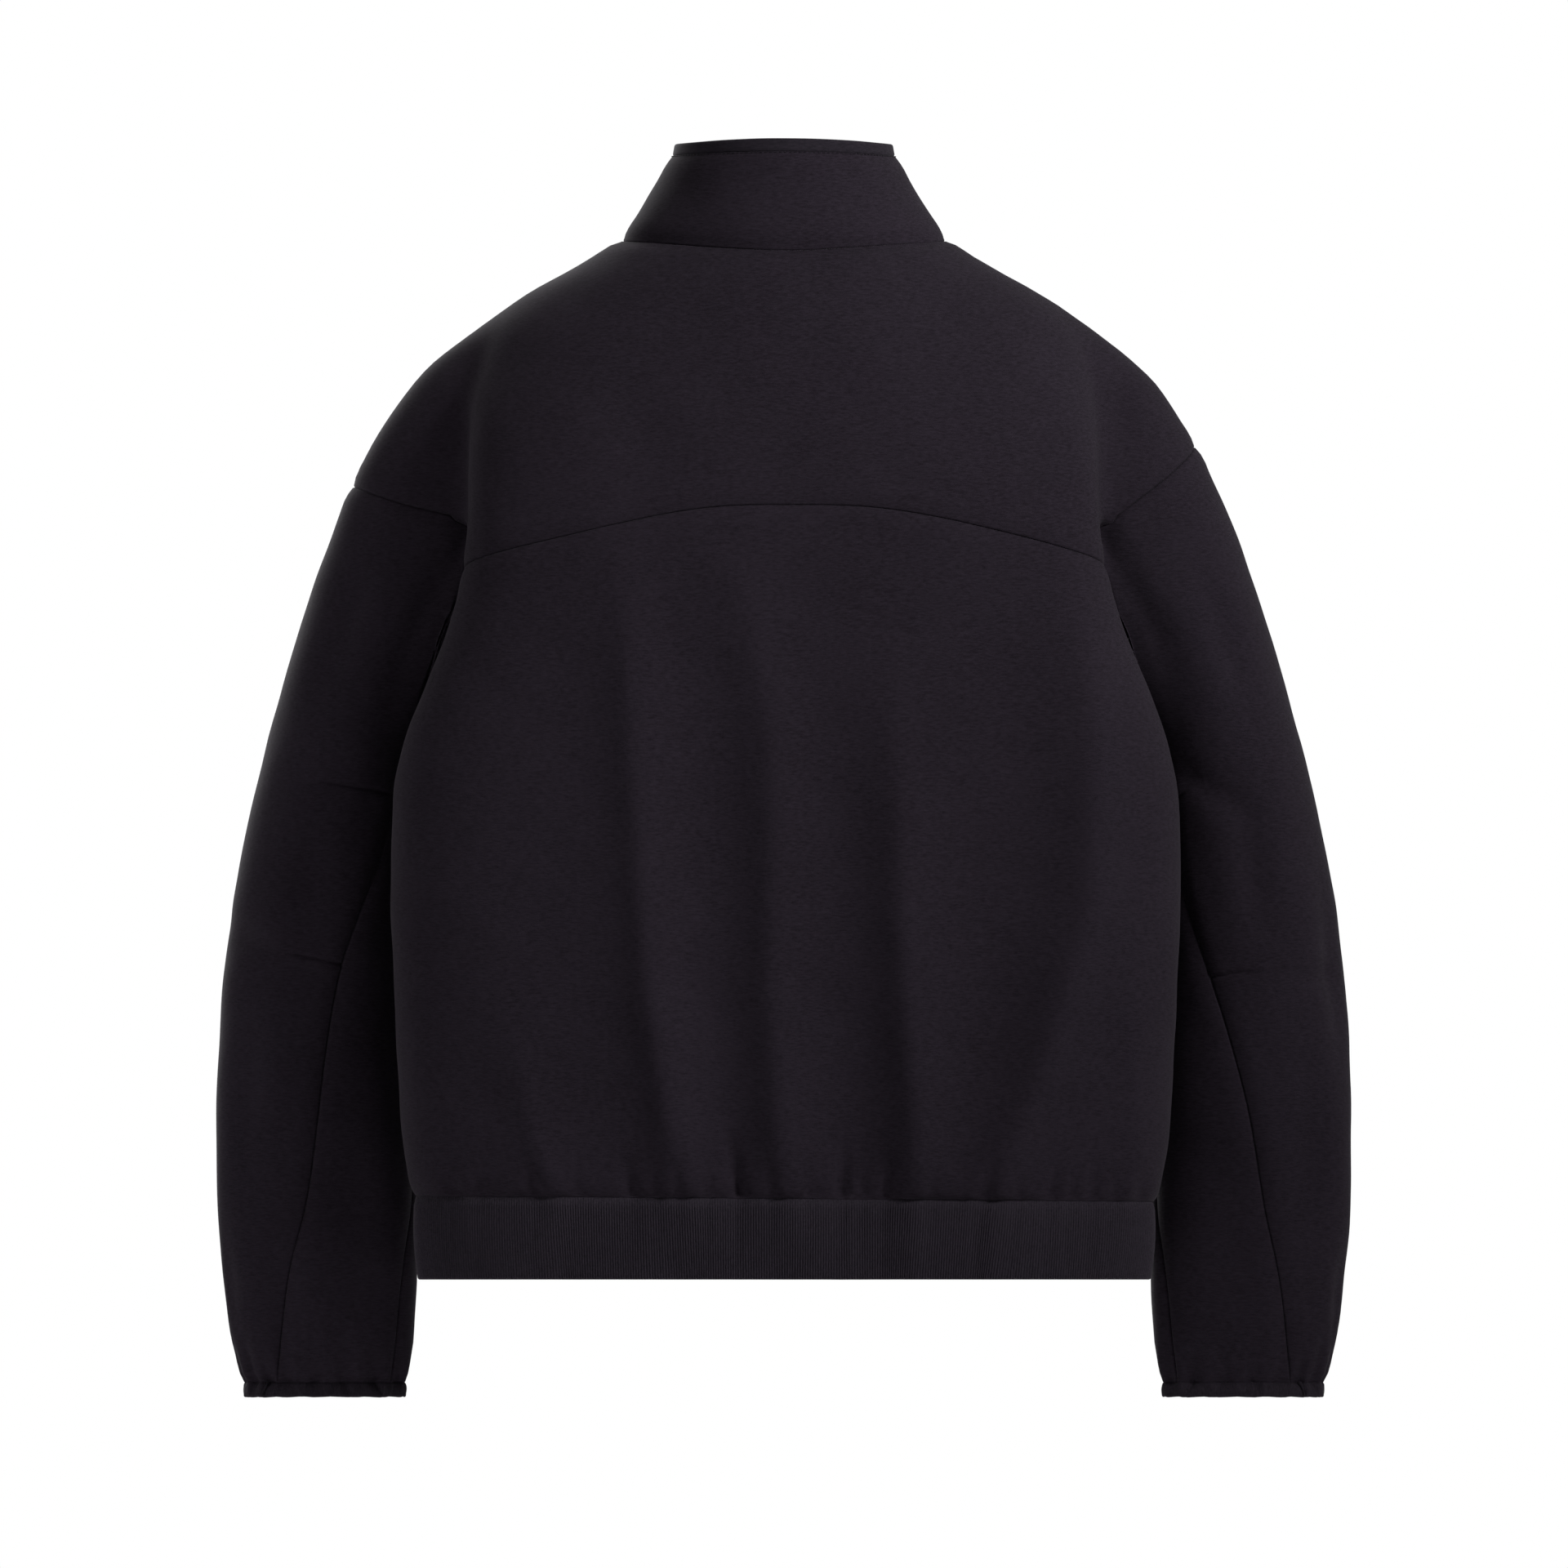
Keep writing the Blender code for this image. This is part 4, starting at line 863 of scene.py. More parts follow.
    def make_collar(self, neck: Array) -> None:
        """Makes the collar's patches, from its top edge down to the neck's loop.

        Args:
            neck: The neck seam's point numbers.
        """
        base, first = self.points[neck], COLLAR[0]
        behind = base[:, 1] >= self.collar_middle_y
        depths = first.back - self.collar_middle_y, self.collar_middle_y - first.front
        along = (base[:, 1] - self.collar_middle_y) / np.where(behind, *depths)
        angle = np.arctan2(along, base[:, 0] / first.half_width)
        shares = np.linspace(self.collar_band_share, 0.0, self.collar_rows + 1)[:-1]
        rows = []
        for share in [1.0, *shares]:
            at = [ring.share for ring in COLLAR]
            sizes = [np.interp(share, at, column) for column in list(zip(*COLLAR))[1:]]
            oval = self.collar_oval(CollarRing(share, *sizes), angle)
            fade = 1.0 - smooth_step(share / self.collar_settles_at)
            oval += (base[:, :2] - self.collar_oval(first, angle)) * fade
            rim_end = np.where(np.sin(angle) >= 0, self.rim_back, self.rim_front)
            rim = self.rim_side + (rim_end - self.rim_side) * np.sin(angle) ** 2
            height = base[:, 2] + (rim - base[:, 2]) * share
            rows.append(self.add(np.column_stack([oval, height])))
        net = closed(np.stack([*rows, neck]))
        self.patches["collar_top_band"] = quads_of(net[:2])
        self.patches["collar"] = quads_of(net[1:])

    def make_hem(self, seam: Array) -> None:
        """Makes the waistband's patch, from the hem seam's loop down to the garment's edge.

        Args:
            seam: The hem seam's point numbers.
        """
        top = self.points[seam]
        turned = np.degrees(np.arctan2(top[:, 1] - self.body.pole_y, top[:, 0]))
        edge = self.body.points(turned, np.full(len(top), HEM_EDGE))
        rows = [seam]
        for row in range(1, self.hem_rows + 1):
            rows.append(self.add(top + (edge - top) * row / self.hem_rows))
        self.patches["hem_rib"] = quads_of(closed(np.stack(rows)))

    def make(self) -> None:
        """Makes every patch."""
        neck, hem, armholes = self.make_body()
        self.make_collar(neck)
        self.make_hem(hem)
        for side, loop in armholes.items():
            self.make_sleeve(side, loop)


def all_edges(quads: Array) -> tuple[Array, Array]:
    """Every face's edges in its own direction, and the same with their ends in order."""
    ends = np.concatenate([quads[:, [corner, (corner + 1) % 4]] for corner in range(4)])
    return ends, np.sort(ends, axis=1)


def edges_of(quads: Array) -> Array:
    """The edges that only one of the faces has, in that face's own direction."""
    ends, ordered = all_edges(quads)
    _, first, uses = np.unique(ordered, axis=0, return_index=True, return_counts=True)
    return ends[first[uses == 1]]


# Pieces that meet at a sharp bend
CREASED_SEAMS = {
    "collar": ("back_yoke", "front"),
    "hem_rib": ("back_lower", "front"),
    "cuff_binding_left": ("upper_sleeve_left", "under_sleeve_left"),
    "cuff_binding_right": ("upper_sleeve_right", "under_sleeve_right"),
}


class FineSkin:
    """The whole outer face, subdivided smoothly, as one net of shared points."""

    LEVELS = 2
    CORRECTIONS = 3

    def __init__(self, pattern: Pattern) -> None:
        """Subdivides a pattern's net so that the fine face still runs through its points.

        Args:
            pattern: The coarse net.
        """
        self.names = list(pattern.patches)
        quads = np.concatenate(list(pattern.patches.values()))
        sizes = [len(patch) for patch in pattern.patches.values()]
        owner = np.repeat(np.arange(len(sizes)), sizes)
        mesh = bpy.data.meshes.new("coarse_skin")
        mesh.from_pydata(pattern.points.tolist(), [], quads.tolist())
        mesh.attributes.new("owner", "INT", "FACE").data.foreach_set("value", owner)
        self._crease(mesh, quads, owner)
        skin = bpy.data.objects.new("coarse_skin", mesh)
        bpy.context.scene.collection.objects.link(skin)
        modifier = skin.modifiers.new("fine", "SUBSURF")
        modifier.levels = modifier.render_levels = self.LEVELS
        control, count = pattern.points.copy(), len(pattern.points)
        patches = [np.unique(patch) for patch in pattern.patches.values()]
        on_seam = (np.bincount(np.concatenate(patches), minlength=count) > 1)[:, None]
        for _ in range(self.CORRECTIONS):
            points, normals = self._evaluate(skin, control)
            miss, facing = pattern.points - points[:count], normals[:count]
            across = row_sums(miss * facing) * facing
            control += np.where(on_seam, miss, across)
        self.points = self._evaluate(skin, control)[0]
        self.quads, self.owner = self._faces(skin)
        bpy.data.objects.remove(skin, do_unlink=True)
        self.normals = self._normals()
        self.smooth_points = self.points.copy()

    def _crease(self, mesh: bpy.types.Mesh, quads: Array, owner: Array) -> None:
        """Marks the seams at which the face bends sharply.

        Args:
            mesh: The coarse mesh.
            quads: Its faces.
            owner: Each face's piece.
        """
        weights = np.array([len(mesh.vertices), 1])
        owners: dict[int, set[int]] = {}
        for key, piece in zip((all_edges(quads)[1] @ weights).tolist(), np.tile(owner, 4).tolist()):
            owners.setdefault(key, set()).add(piece)
        number = self.names.index
        sharp = [{number(name), number(o)} for name, others in CREASED_SEAMS.items() for o in others]
        vertices = np.empty(len(mesh.edges) * 2, np.int32)
        mesh.edges.foreach_get("vertices", vertices)
        edge_keys = np.sort(vertices.reshape(-1, 2), axis=1) @ weights
        creases = [float(owners[key] in sharp) for key in edge_keys.tolist()]
        mesh.attributes.new("crease_edge", "FLOAT", "EDGE").data.foreach_set("value", creases)

    @staticmethod
    def _read(values: bpy.types.bpy_prop_collection, name: str, width: int, kind: type) -> Array:
        """One property of each of a mesh's parts, width numbers to a row."""
        flat = np.empty(len(values) * width, kind)
        values.foreach_get(name, flat)
        return flat.reshape(-1, width)

    def _evaluate(self, skin: bpy.types.Object, control: Array) -> tuple[Array, Array]:
        """The fine face's points and their outward directions for a set of control points."""
        skin.data.vertices.foreach_set("co", control.ravel())
        skin.data.update()
        skin.update_tag()
        fine = skin.evaluated_get(bpy.context.evaluated_depsgraph_get()).to_mesh()
        return tuple(self._read(fine.vertices, name, 3, float) for name in ("co", "normal"))

    def _faces(self, skin: bpy.types.Object) -> tuple[Array, Array]:
        """The fine face's quads and the piece that each belongs to."""
        fine = skin.evaluated_get(bpy.context.evaluated_depsgraph_get()).to_mesh()
        quads = self._read(fine.loops, "vertex_index", 1, np.int32).reshape(-1, 4)
        return quads.astype(int), self._read(fine.attributes["owner"].data, "value", 1, np.int32)[:, 0]

    def _normals(self) -> Array:
        """Each point's outward direction: an even mean of the faces that meet there."""
        total = np.zeros_like(self.points)
        corners = self.points[self.quads]
        facing = unit(np.cross(corners[:, 2] - corners[:, 0], corners[:, 3] - corners[:, 1]))
        for corner in range(4):
            np.add.at(total, self.quads[:, corner], facing)
        return unit(total)

    def press(self, push: Array) -> None:
        """Moves every point inwards by its push, along the present normals."""
        self.points = self.points - self.normals * push[:, None]
        self.normals = self._normals()

    def faces(self, *names: str) -> Array:
        """The quads of the named pieces."""
        wanted = [self.names.index(name) for name in names]
        return self.quads[np.isin(self.owner, wanted)]

    def ids(self, *names: str) -> Array:
        """The numbers of the named pieces' points."""
        return np.unique(self.faces(*names))

    def shared(self, first: Sequence[str], second: Sequence[str]) -> Array:
        """The numbers of the points on the seams between two groups of pieces."""
        return np.intersect1d(self.ids(*first), self.ids(*second))

    def rim(self, name: str) -> Array:
        """The numbers of a piece's edge points that no other piece shares."""
        edge = np.unique(edges_of(self.faces(name)))
        others = [other for other in self.names if other != name]
        return np.setdiff1d(edge, self.ids(*others))

    def distance_to(self, targets: Array) -> Array:
        """Each point's distance from the nearest of the target points, on the smooth face."""
        tree = KDTree(len(targets))
        for number, point in enumerate(self.smooth_points[targets].tolist()):
            tree.insert(point, number)
        tree.balance()
        return np.array([tree.find(point)[2] for point in self.smooth_points.tolist()])


class Station(NamedTuple):
    """A place on a fold's crest down a panel, and how high the crest is there."""

    x: float
    z: float
    height: float


@dataclass(frozen=True)
class Fold:
    """A hanging fold: a soft crest down a panel, from which the cloth falls away on both sides."""

    panel: Panel
    towards_left: float
    towards_right: float
    path: tuple[Station, ...]
    left_bank: float = 0.0
    right_bank: float = 0.0
    bank_reach: float = 0.090
    crest_roundness: float = 0.28
    settled_share: float = 0.54
    settled_reach: float = 0.080

    def push(self, x: Array, z: Array) -> Array:
        """How far the fold presses points at (x, z) in, which is less than nothing on its crest.

        Args:
            x: Places across.
            z: Heights.

        Returns:
            The push at each.
        """
        route = Table(self.path)
        aside = x - route.at("x", z)
        flank = np.where(aside > 0, self.towards_left, self.towards_right)
        bank = np.where(aside > 0, self.left_bank, self.right_bank)
        away = np.hypot(aside / flank, self.crest_roundness) - self.crest_roundness
        crest = (1 - bank) * np.exp(-away) + bank * bell(aside / self.bank_reach)
        return route.at("height", z) * (self.settled_share * bell(aside / self.settled_reach) - crest)


FOLDS = (
    Fold(Panel.BACK, 0.019, 0.034, left_bank=0.50, path=rows_as(
        Station,
        (0.1000, -0.1900, 0.0), (0.0973, -0.2435, 0.0115), (0.0938, -0.3035, 0.0176),
        (0.0908, -0.3535, 0.0224), (0.0873, -0.4035, 0.0264), (0.0833, -0.4535, 0.0305),
        (0.0758, -0.5035, 0.0332), (0.0698, -0.5435, 0.0312), (0.0655, -0.5685, 0.0258),
        (0.0630, -0.5860, 0.0149),
    )),
    Fold(Panel.BACK, 0.032, 0.035, path=rows_as(
        Station,
        (0.0300, -0.1900, 0.0), (0.0190, -0.2435, 0.0095), (0.0085, -0.3035, 0.0142),
        (0.0073, -0.3535, 0.0190), (0.0073, -0.4535, 0.0258), (0.0048, -0.5035, 0.0305),
        (0.0023, -0.5435, 0.0312), (0.0000, -0.5685, 0.0264), (-0.0015, -0.5860, 0.0149),
    )),
    Fold(Panel.BACK, 0.030, 0.032, path=rows_as(
        Station,
        (-0.0670, -0.2400, 0.0), (-0.0688, -0.3035, 0.0095), (-0.0713, -0.3535, 0.0163),
        (-0.0713, -0.4035, 0.0217), (-0.0743, -0.4535, 0.0264), (-0.0778, -0.5035, 0.0312),
        (-0.0803, -0.5435, 0.0305), (-0.0803, -0.5685, 0.0271), (-0.0803, -0.5860, 0.0149),
    )),
    Fold(Panel.BACK, 0.036, 0.026, right_bank=0.50, path=rows_as(
        Station,
        (-0.1770, -0.1850, 0.0), (-0.1793, -0.2435, 0.0165), (-0.1860, -0.3035, 0.0240),
        (-0.1868, -0.3535, 0.0273), (-0.1848, -0.4035, 0.0298), (-0.1718, -0.4535, 0.0314),
        (-0.1578, -0.5035, 0.0331), (-0.1428, -0.5435, 0.0322), (-0.1330, -0.5685, 0.0281),
        (-0.1290, -0.5860, 0.0165),
    )),
    Fold(Panel.BACK, 0.015, 0.012, left_bank=0.50, right_bank=0.50, path=rows_as(
        Station,
        (0.1690, -0.4700, 0.0), (0.1620, -0.5035, 0.0041), (0.1548, -0.5435, 0.0081),
        (0.1448, -0.5685, 0.0087), (0.1400, -0.5860, 0.0054),
    )),
    Fold(Panel.BACK, 0.016, 0.014, left_bank=0.50, right_bank=0.50, path=rows_as(
        Station,
        (-0.2080, -0.4400, 0.0), (-0.2110, -0.5000, 0.0060), (-0.2120, -0.5500, 0.0068),
        (-0.2100, -0.5860, 0.0049),
    )),
    Fold(Panel.FRONT, 0.036, 0.026, left_bank=0.40, path=rows_as(
        Station,
        (0.1250, -0.2200, 0.0), (0.1180, -0.3000, 0.0114), (0.1080, -0.4000, 0.0180),
        (0.1000, -0.5000, 0.0216), (0.0960, -0.5600, 0.0192), (0.0940, -0.5860, 0.0108),
    )),
    Fold(Panel.FRONT, 0.030, 0.030, path=rows_as(
        Station,
        (0.0380, -0.2900, 0.0), (0.0340, -0.3700, 0.0102), (0.0320, -0.4700, 0.0168),
        (0.0380, -0.5550, 0.0168), (0.0400, -0.5860, 0.0096),
    )),
    Fold(Panel.FRONT, 0.036, 0.024, right_bank=0.40, path=rows_as(
        Station,
        (-0.1400, -0.2200, 0.0), (-0.1300, -0.3000, 0.0120), (-0.1150, -0.3900, 0.0192),
        (-0.0900, -0.4900, 0.0228), (-0.0760, -0.5600, 0.0192), (-0.0700, -0.5860, 0.0108),
    )),
    Fold(Panel.FRONT, 0.024, 0.024, path=rows_as(
        Station,
        (-0.0240, -0.3700, 0.0), (-0.0260, -0.4400, 0.0084), (-0.0230, -0.5200, 0.0120),
        (-0.0120, -0.5860, 0.0072),
    )),
    Fold(Panel.FRONT, 0.022, 0.018, left_bank=0.40, right_bank=0.40, path=rows_as(
        Station,
        (-0.1660, -0.4000, 0.0), (-0.1600, -0.4900, 0.0108), (-0.1520, -0.5860, 0.0072),
    )),
    Fold(Panel.FRONT, 0.018, 0.020, left_bank=0.40, right_bank=0.40, path=rows_as(
        Station,
        (0.1640, -0.4200, 0.0), (0.1590, -0.5100, 0.0102), (0.1510, -0.5860, 0.0067),
    )),
)


class Pucker(NamedTuple):
    """A short crease that the tighter hem draws into a panel."""

    x: float
    depth: float
    length: float
    half_width: float
    lean: float


PUCKERS = {
    Panel.BACK: rows_as(
        Pucker,
        (0.2030, 0.0036, 0.040, 0.0050, 0.10), (0.1860, 0.0018, 0.022, 0.0040, 0.05),
        (0.1500, 0.0030, 0.030, 0.0045, 0.35), (0.1260, 0.0018, 0.020, 0.0040, 0.10),
        (0.0925, 0.0033, 0.034, 0.0046, 0.20), (0.0775, 0.0021, 0.022, 0.0038, 0.10),
        (0.0640, 0.0033, 0.038, 0.0042, 0.12), (0.0460, 0.0024, 0.026, 0.0038, 0.05),
        (0.0275, 0.0054, 0.050, 0.0046, 0.14), (0.0070, 0.0027, 0.030, 0.0040, 0.05),
        (-0.0160, 0.0024, 0.024, 0.0040, 0.00), (-0.0350, 0.0048, 0.044, 0.0040, -0.05),
        (-0.0470, 0.0024, 0.026, 0.0038, -0.08), (-0.0620, 0.0033, 0.034, 0.0042, -0.10),
        (-0.0900, 0.0021, 0.022, 0.0042, -0.05), (-0.1210, 0.0039, 0.036, 0.0050, -0.25),
        (-0.1420, 0.0021, 0.022, 0.0040, -0.10), (-0.1630, 0.0033, 0.032, 0.0042, -0.12),
        (-0.1760, 0.0027, 0.028, 0.0038, -0.10), (-0.1880, 0.0030, 0.036, 0.0040, -0.06),
        (-0.2010, 0.0024, 0.026, 0.0038, -0.05), (-0.2170, 0.0024, 0.024, 0.0042, 0.00),
    ),
    Panel.FRONT: rows_as(
        Pucker,
        (0.1900, 0.0030, 0.030, 0.0050, 0.05), (0.1640, 0.0021, 0.022, 0.0045, 0.05),
        (0.1280, 0.0042, 0.042, 0.0052, 0.10), (0.0990, 0.0024, 0.024, 0.0045, 0.05),
        (0.0700, 0.0033, 0.030, 0.0048, 0.05), (0.0420, 0.0045, 0.046, 0.0050, 0.05),
        (0.0170, 0.0021, 0.022, 0.0044, 0.00), (-0.0080, 0.0036, 0.034, 0.0048, 0.00),
        (-0.0330, 0.0021, 0.024, 0.0044, 0.00), (-0.0560, 0.0045, 0.048, 0.0050, -0.05),
        (-0.0800, 0.0021, 0.022, 0.0044, -0.05), (-0.1060, 0.0036, 0.032, 0.0048, -0.05),
        (-0.1280, 0.0021, 0.022, 0.0044, -0.05), (-0.1520, 0.0042, 0.042, 0.0050, -0.10),
        (-0.1900, 0.0030, 0.028, 0.0048, -0.05),
    ),
}


class Hollow(NamedTuple):
    """A soft hollow of a panel, or a swelling where its depth is below zero."""

    x: float
    z: float
    depth: float
    half_width: float
    half_height: float


HOLLOWS = {
    Panel.BACK: rows_as(
        Hollow,
        (0.0600, -0.050, 0.0022, 0.030, 0.026), (-0.1050, -0.042, 0.0026, 0.034, 0.020),
        (-0.2060, -0.106, 0.0040, 0.010, 0.017), (0.1980, -0.092, -0.0020, 0.012, 0.012),
        (0.0880, -0.120, 0.0014, 0.022, 0.070), (0.0200, -0.100, -0.0012, 0.034, 0.070),
        (-0.0400, -0.120, -0.0010, 0.026, 0.050), (-0.1550, -0.130, 0.0012, 0.026, 0.050),
    ),
    Panel.FRONT: rows_as(
        Hollow,
        (0.0700, -0.200, -0.0020, 0.050, 0.060), (-0.0700, -0.200, -0.0020, 0.050, 0.060),
        (0.0, -0.150, 0.0020, 0.028, 0.060),
    ),
}


class Dent(NamedTuple):
    """A dent of a sleeve: degrees from outside over the back, height, depth and half sizes."""

    degrees: float
    z: float
    depth: float
    half_round: float
    half_height: float
    slant: float


DENTS = {
    Side.LEFT: rows_as(
        Dent,
        (62.0, -0.332, 0.0036, 0.030, 0.010, 0.12), (34.0, -0.428, 0.0044, 0.026, 0.010, -0.25),
        (60.0, -0.452, 0.0026, 0.022, 0.009, 0.20), (78.0, -0.395, 0.0030, 0.014, 0.040, 0.0),
        (46.0, -0.530, 0.0026, 0.012, 0.060, 0.0), (110.0, -0.600, 0.0028, 0.016, 0.050, 0.0),
        (60.0, -0.240, 0.0036, 0.014, 0.045, 0.0), (95.0, -0.270, -0.0020, 0.016, 0.050, 0.0),
        (20.0, -0.640, 0.0022, 0.010, 0.034, 0.0), (66.0, -0.655, 0.0022, 0.010, 0.036, 0.0),
        (270.0, -0.400, 0.0040, 0.030, 0.012, 0.25), (240.0, -0.450, 0.0040, 0.032, 0.010, 0.30),
        (290.0, -0.560, 0.0030, 0.014, 0.060, 0.0), (255.0, -0.340, 0.0035, 0.026, 0.011, 0.20),
        (300.0, -0.250, 0.0035, 0.014, 0.045, 0.0),
    ),
    Side.RIGHT: rows_as(
        Dent,
        (80.0, -0.385, 0.0036, 0.012, 0.042, 0.0), (96.0, -0.340, 0.0040, 0.022, 0.008, 0.45),
        (45.0, -0.452, 0.0030, 0.026, 0.008, -0.10), (26.0, -0.450, 0.0034, 0.012, 0.052, 0.0),
        (62.0, -0.250, 0.0036, 0.014, 0.045, 0.0), (55.0, -0.560, 0.0026, 0.012, 0.055, 0.0),
        (100.0, -0.610, 0.0028, 0.016, 0.045, 0.0), (15.0, -0.650, 0.0026, 0.010, 0.030, 0.0),
        (265.0, -0.390, 0.0040, 0.030, 0.012, 0.25), (245.0, -0.445, 0.0040, 0.032, 0.010, 0.30),
        (285.0, -0.550, 0.0030, 0.014, 0.060, 0.0), (300.0, -0.255, 0.0035, 0.014, 0.045, 0.0),
    ),
}


class Gather(NamedTuple):
    """A gather above a cuff: degrees from outside over the back, depth, length, half width."""

    degrees: float
    depth: float
    length: float
    half_width: float


GATHERS = rows_as(
    Gather,
    (6.0, 0.0027, 0.030, 7.0), (30.0, 0.0035, 0.040, 6.5), (47.0, 0.0041, 0.026, 5.0),
    (63.0, 0.0030, 0.034, 6.0), (84.0, 0.0035, 0.030, 5.5), (104.0, 0.0030, 0.038, 6.5),
    (128.0, 0.0035, 0.028, 6.0), (152.0, 0.0027, 0.034, 7.0), (180.0, 0.0027, 0.026, 7.0),
    (206.0, 0.0032, 0.036, 6.0), (228.0, 0.0030, 0.028, 5.5), (250.0, 0.0035, 0.038, 6.5),
    (274.0, 0.0030, 0.026, 5.5), (296.0, 0.0035, 0.034, 6.0), (318.0, 0.0030, 0.030, 6.0),
    (340.0, 0.0032, 0.036, 6.5),
)

BODY_PIECES = ("back_yoke", "back_lower", "front")
SLEEVE_PIECES = {
    side: (f"upper_sleeve_{side.value}", f"under_sleeve_{side.value}") for side in Side
}


@dataclass
class Drape:
    """Presses the cloth's folds, puckers, dents and seams into the fine skin."""

    skin: FineSkin
    sleeve: SleeveForm
    side_fade: float = 0.046
    armhole_fade: float = 0.030
    side_margin: float = 0.01
    hem_give: float = 0.6
    pucker_start: float = 0.004
    pucker_floor: float = 0.35
    seam_sink: float = 0.00085
    seam_reach: float = 0.0042
    seam_puff: float = 0.00035
    puff_at: float = 0.0105
    puff_reach: float = 0.005
    waver: float = 0.00030

    def panel_push(self, panel: Panel) -> Array:
        """How far one half of the body's folds, hollows and puckers press each point in.

        Args:
            panel: The half.

        Returns:
            The push of every point of the skin.
        """
        x, _, z = self.skin.smooth_points.T
        push = sum(fold.push(x, z) for fold in FOLDS if fold.panel is panel)
        above = z - HEM_SEAM - HEM_SEAM_TILT * x
        for pucker in PUCKERS[panel]:
            rise = smooth_step(1.0 - above / pucker.length)
            start = smooth_step(above / self.pucker_start)
            start = self.pucker_floor + (1 - self.pucker_floor) * start
            middle = pucker.x + pucker.lean * above
            push = push + pucker.depth * rise * start * bell((x - middle) / pucker.half_width)
        for hollow in HOLLOWS[panel]:
            across, along = (x - hollow.x) / hollow.half_width, (z - hollow.z) / hollow.half_height
            push = push + hollow.depth * bell(np.hypot(across, along))
        return push

    def body_push(self) -> Array:
        """How far the body's points are pressed in, fading out towards the armholes and side seams."""
        skin = self.skin
        sleeves = [name for names in SLEEVE_PIECES.values() for name in names]
        armholes = skin.shared(BODY_PIECES, sleeves)
        sides = skin.shared(("back_lower", "back_yoke"), ("front",))
        armpit = ARMHOLE_LOWER_SIDE[-1][1] + self.side_margin
        low_sides = sides[skin.smooth_points[sides, 2] < armpit]
        distance = skin.distance_to(np.concatenate([armholes, low_sides]))
        fade = smooth_step(distance / self.side_fade)
        push = np.zeros(len(skin.points))
        back = skin.ids("back_yoke", "back_lower")
        only_front = np.setdiff1d(skin.ids("front"), back)
        for panel, ids in ((Panel.BACK, back), (Panel.FRONT, only_front)):
            push[ids] = (self.panel_push(panel) * fade)[ids]
        push[skin.shared(("hem_rib",), ("back_lower", "front"))] *= self.hem_give
        return push

    def sleeve_push(self, side: Side) -> Array:
        """How far one sleeve's dents and gathers press its points in.

        Args:
            side: The wearer's side.

        Returns:
            The push of every point of the skin.
        """
        skin = self.skin
        points = skin.smooth_points * side.mirror
        degrees = self.sleeve.degrees(points)
        z = points[:, 2]
        radius = np.hypot(self.sleeve.half_width(z), self.sleeve.table.at("depth", z)) / math.sqrt(2)
        push = np.zeros(len(points))
        for dent in DENTS[side]:
            turn = np.radians((degrees - dent.degrees + 180.0) % 360.0 - 180.0) * radius
            along = (z - dent.z - dent.slant * turn) / dent.half_height
            push += dent.depth * bell(np.hypot(turn / dent.half_round, along))
        above = z - CUFF_SEAM
        for gather in GATHERS:
            turn = (degrees - gather.degrees + 180.0) % 360.0 - 180.0
            rise = smooth_step(1.0 - above / gather.length)
            push += gather.depth * rise * bell(turn / gather.half_width)
        member = np.zeros(len(points), bool)
        member[skin.ids(*SLEEVE_PIECES[side])] = True
        body = skin.distance_to(skin.shared(BODY_PIECES, SLEEVE_PIECES[side]))
        return np.where(member, push * smooth_step(body / self.armhole_fade), 0.0)

    def seam_push(self) -> Array:
        """How far each point is pressed in by the seams, with the cloth puffed up beside them."""
        skin = self.skin
        pieces = np.concatenate([skin.ids(name) for name in skin.names])
        counts = np.bincount(pieces, minlength=len(skin.points))
        distance = skin.distance_to(np.flatnonzero(counts > 1))
        sink = self.seam_sink * bell(distance / self.seam_reach)
        puff = self.seam_puff * bell((distance - self.puff_at) / self.puff_reach)
        return sink - puff

    def waver_push(self) -> Array:
        """Soft unevenness, as hung cloth has all over: crossed waves of no common length."""
        x, y, z = self.skin.smooth_points.T
        waves = (
            np.sin(61 * x + 23 * z + 1.3) * np.sin(47 * z - 31 * x + 0.4)
            + 0.7 * np.sin(93 * x - 71 * z + 40 * y) * np.sin(83 * y + 29 * z + 2.2)
            + 0.5 * np.sin(151 * z + 67 * x + 0.9) * np.sin(139 * x - 53 * y + 1.7)
        )
        return self.waver * waves

    def apply(self) -> None:
        """Presses everything in, the large folds before the small ones."""
        for side in Side:
            self.skin.press(self.sleeve_push(side))
        self.skin.press(self.body_push() + self.waver_push())
        self.skin.press(self.seam_push())


@dataclass(frozen=True)
class SheetCut:
    """What a cut piece was before it was sewn: its flat width, length and area."""

    width: float
    length: float
    area: float

    def declare(self, piece: Piece) -> None:
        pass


def link_piece(
    name: str, points: Array, faces: list[Sequence[int]], slots: Array, materials: Iterable
) -> Piece:
    """Makes an object of a mesh.

    Args:
        name: The object's name.
        points: Its points.
        faces: Its faces, as point numbers.
        slots: Each face's material number.
        materials: The materials.

    Returns:
        The object, linked to the scene.
    """
    mesh = bpy.data.meshes.new(name)
    mesh.from_pydata(points.tolist(), [], faces)
    mesh.polygons.foreach_set("material_index", slots)
    mesh.shade_smooth()
    for material in materials:
        mesh.materials.append(material)
    mesh.update()
    piece = bpy.data.objects.new(name, mesh)
    bpy.context.scene.collection.objects.link(piece)
    return piece


def settle(piece: Piece, node: str | None) -> None:
    """Makes a piece ride on the garment and stand for its CAD node, which it hides."""
    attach(piece, BODY)
    if node:
        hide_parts(node)


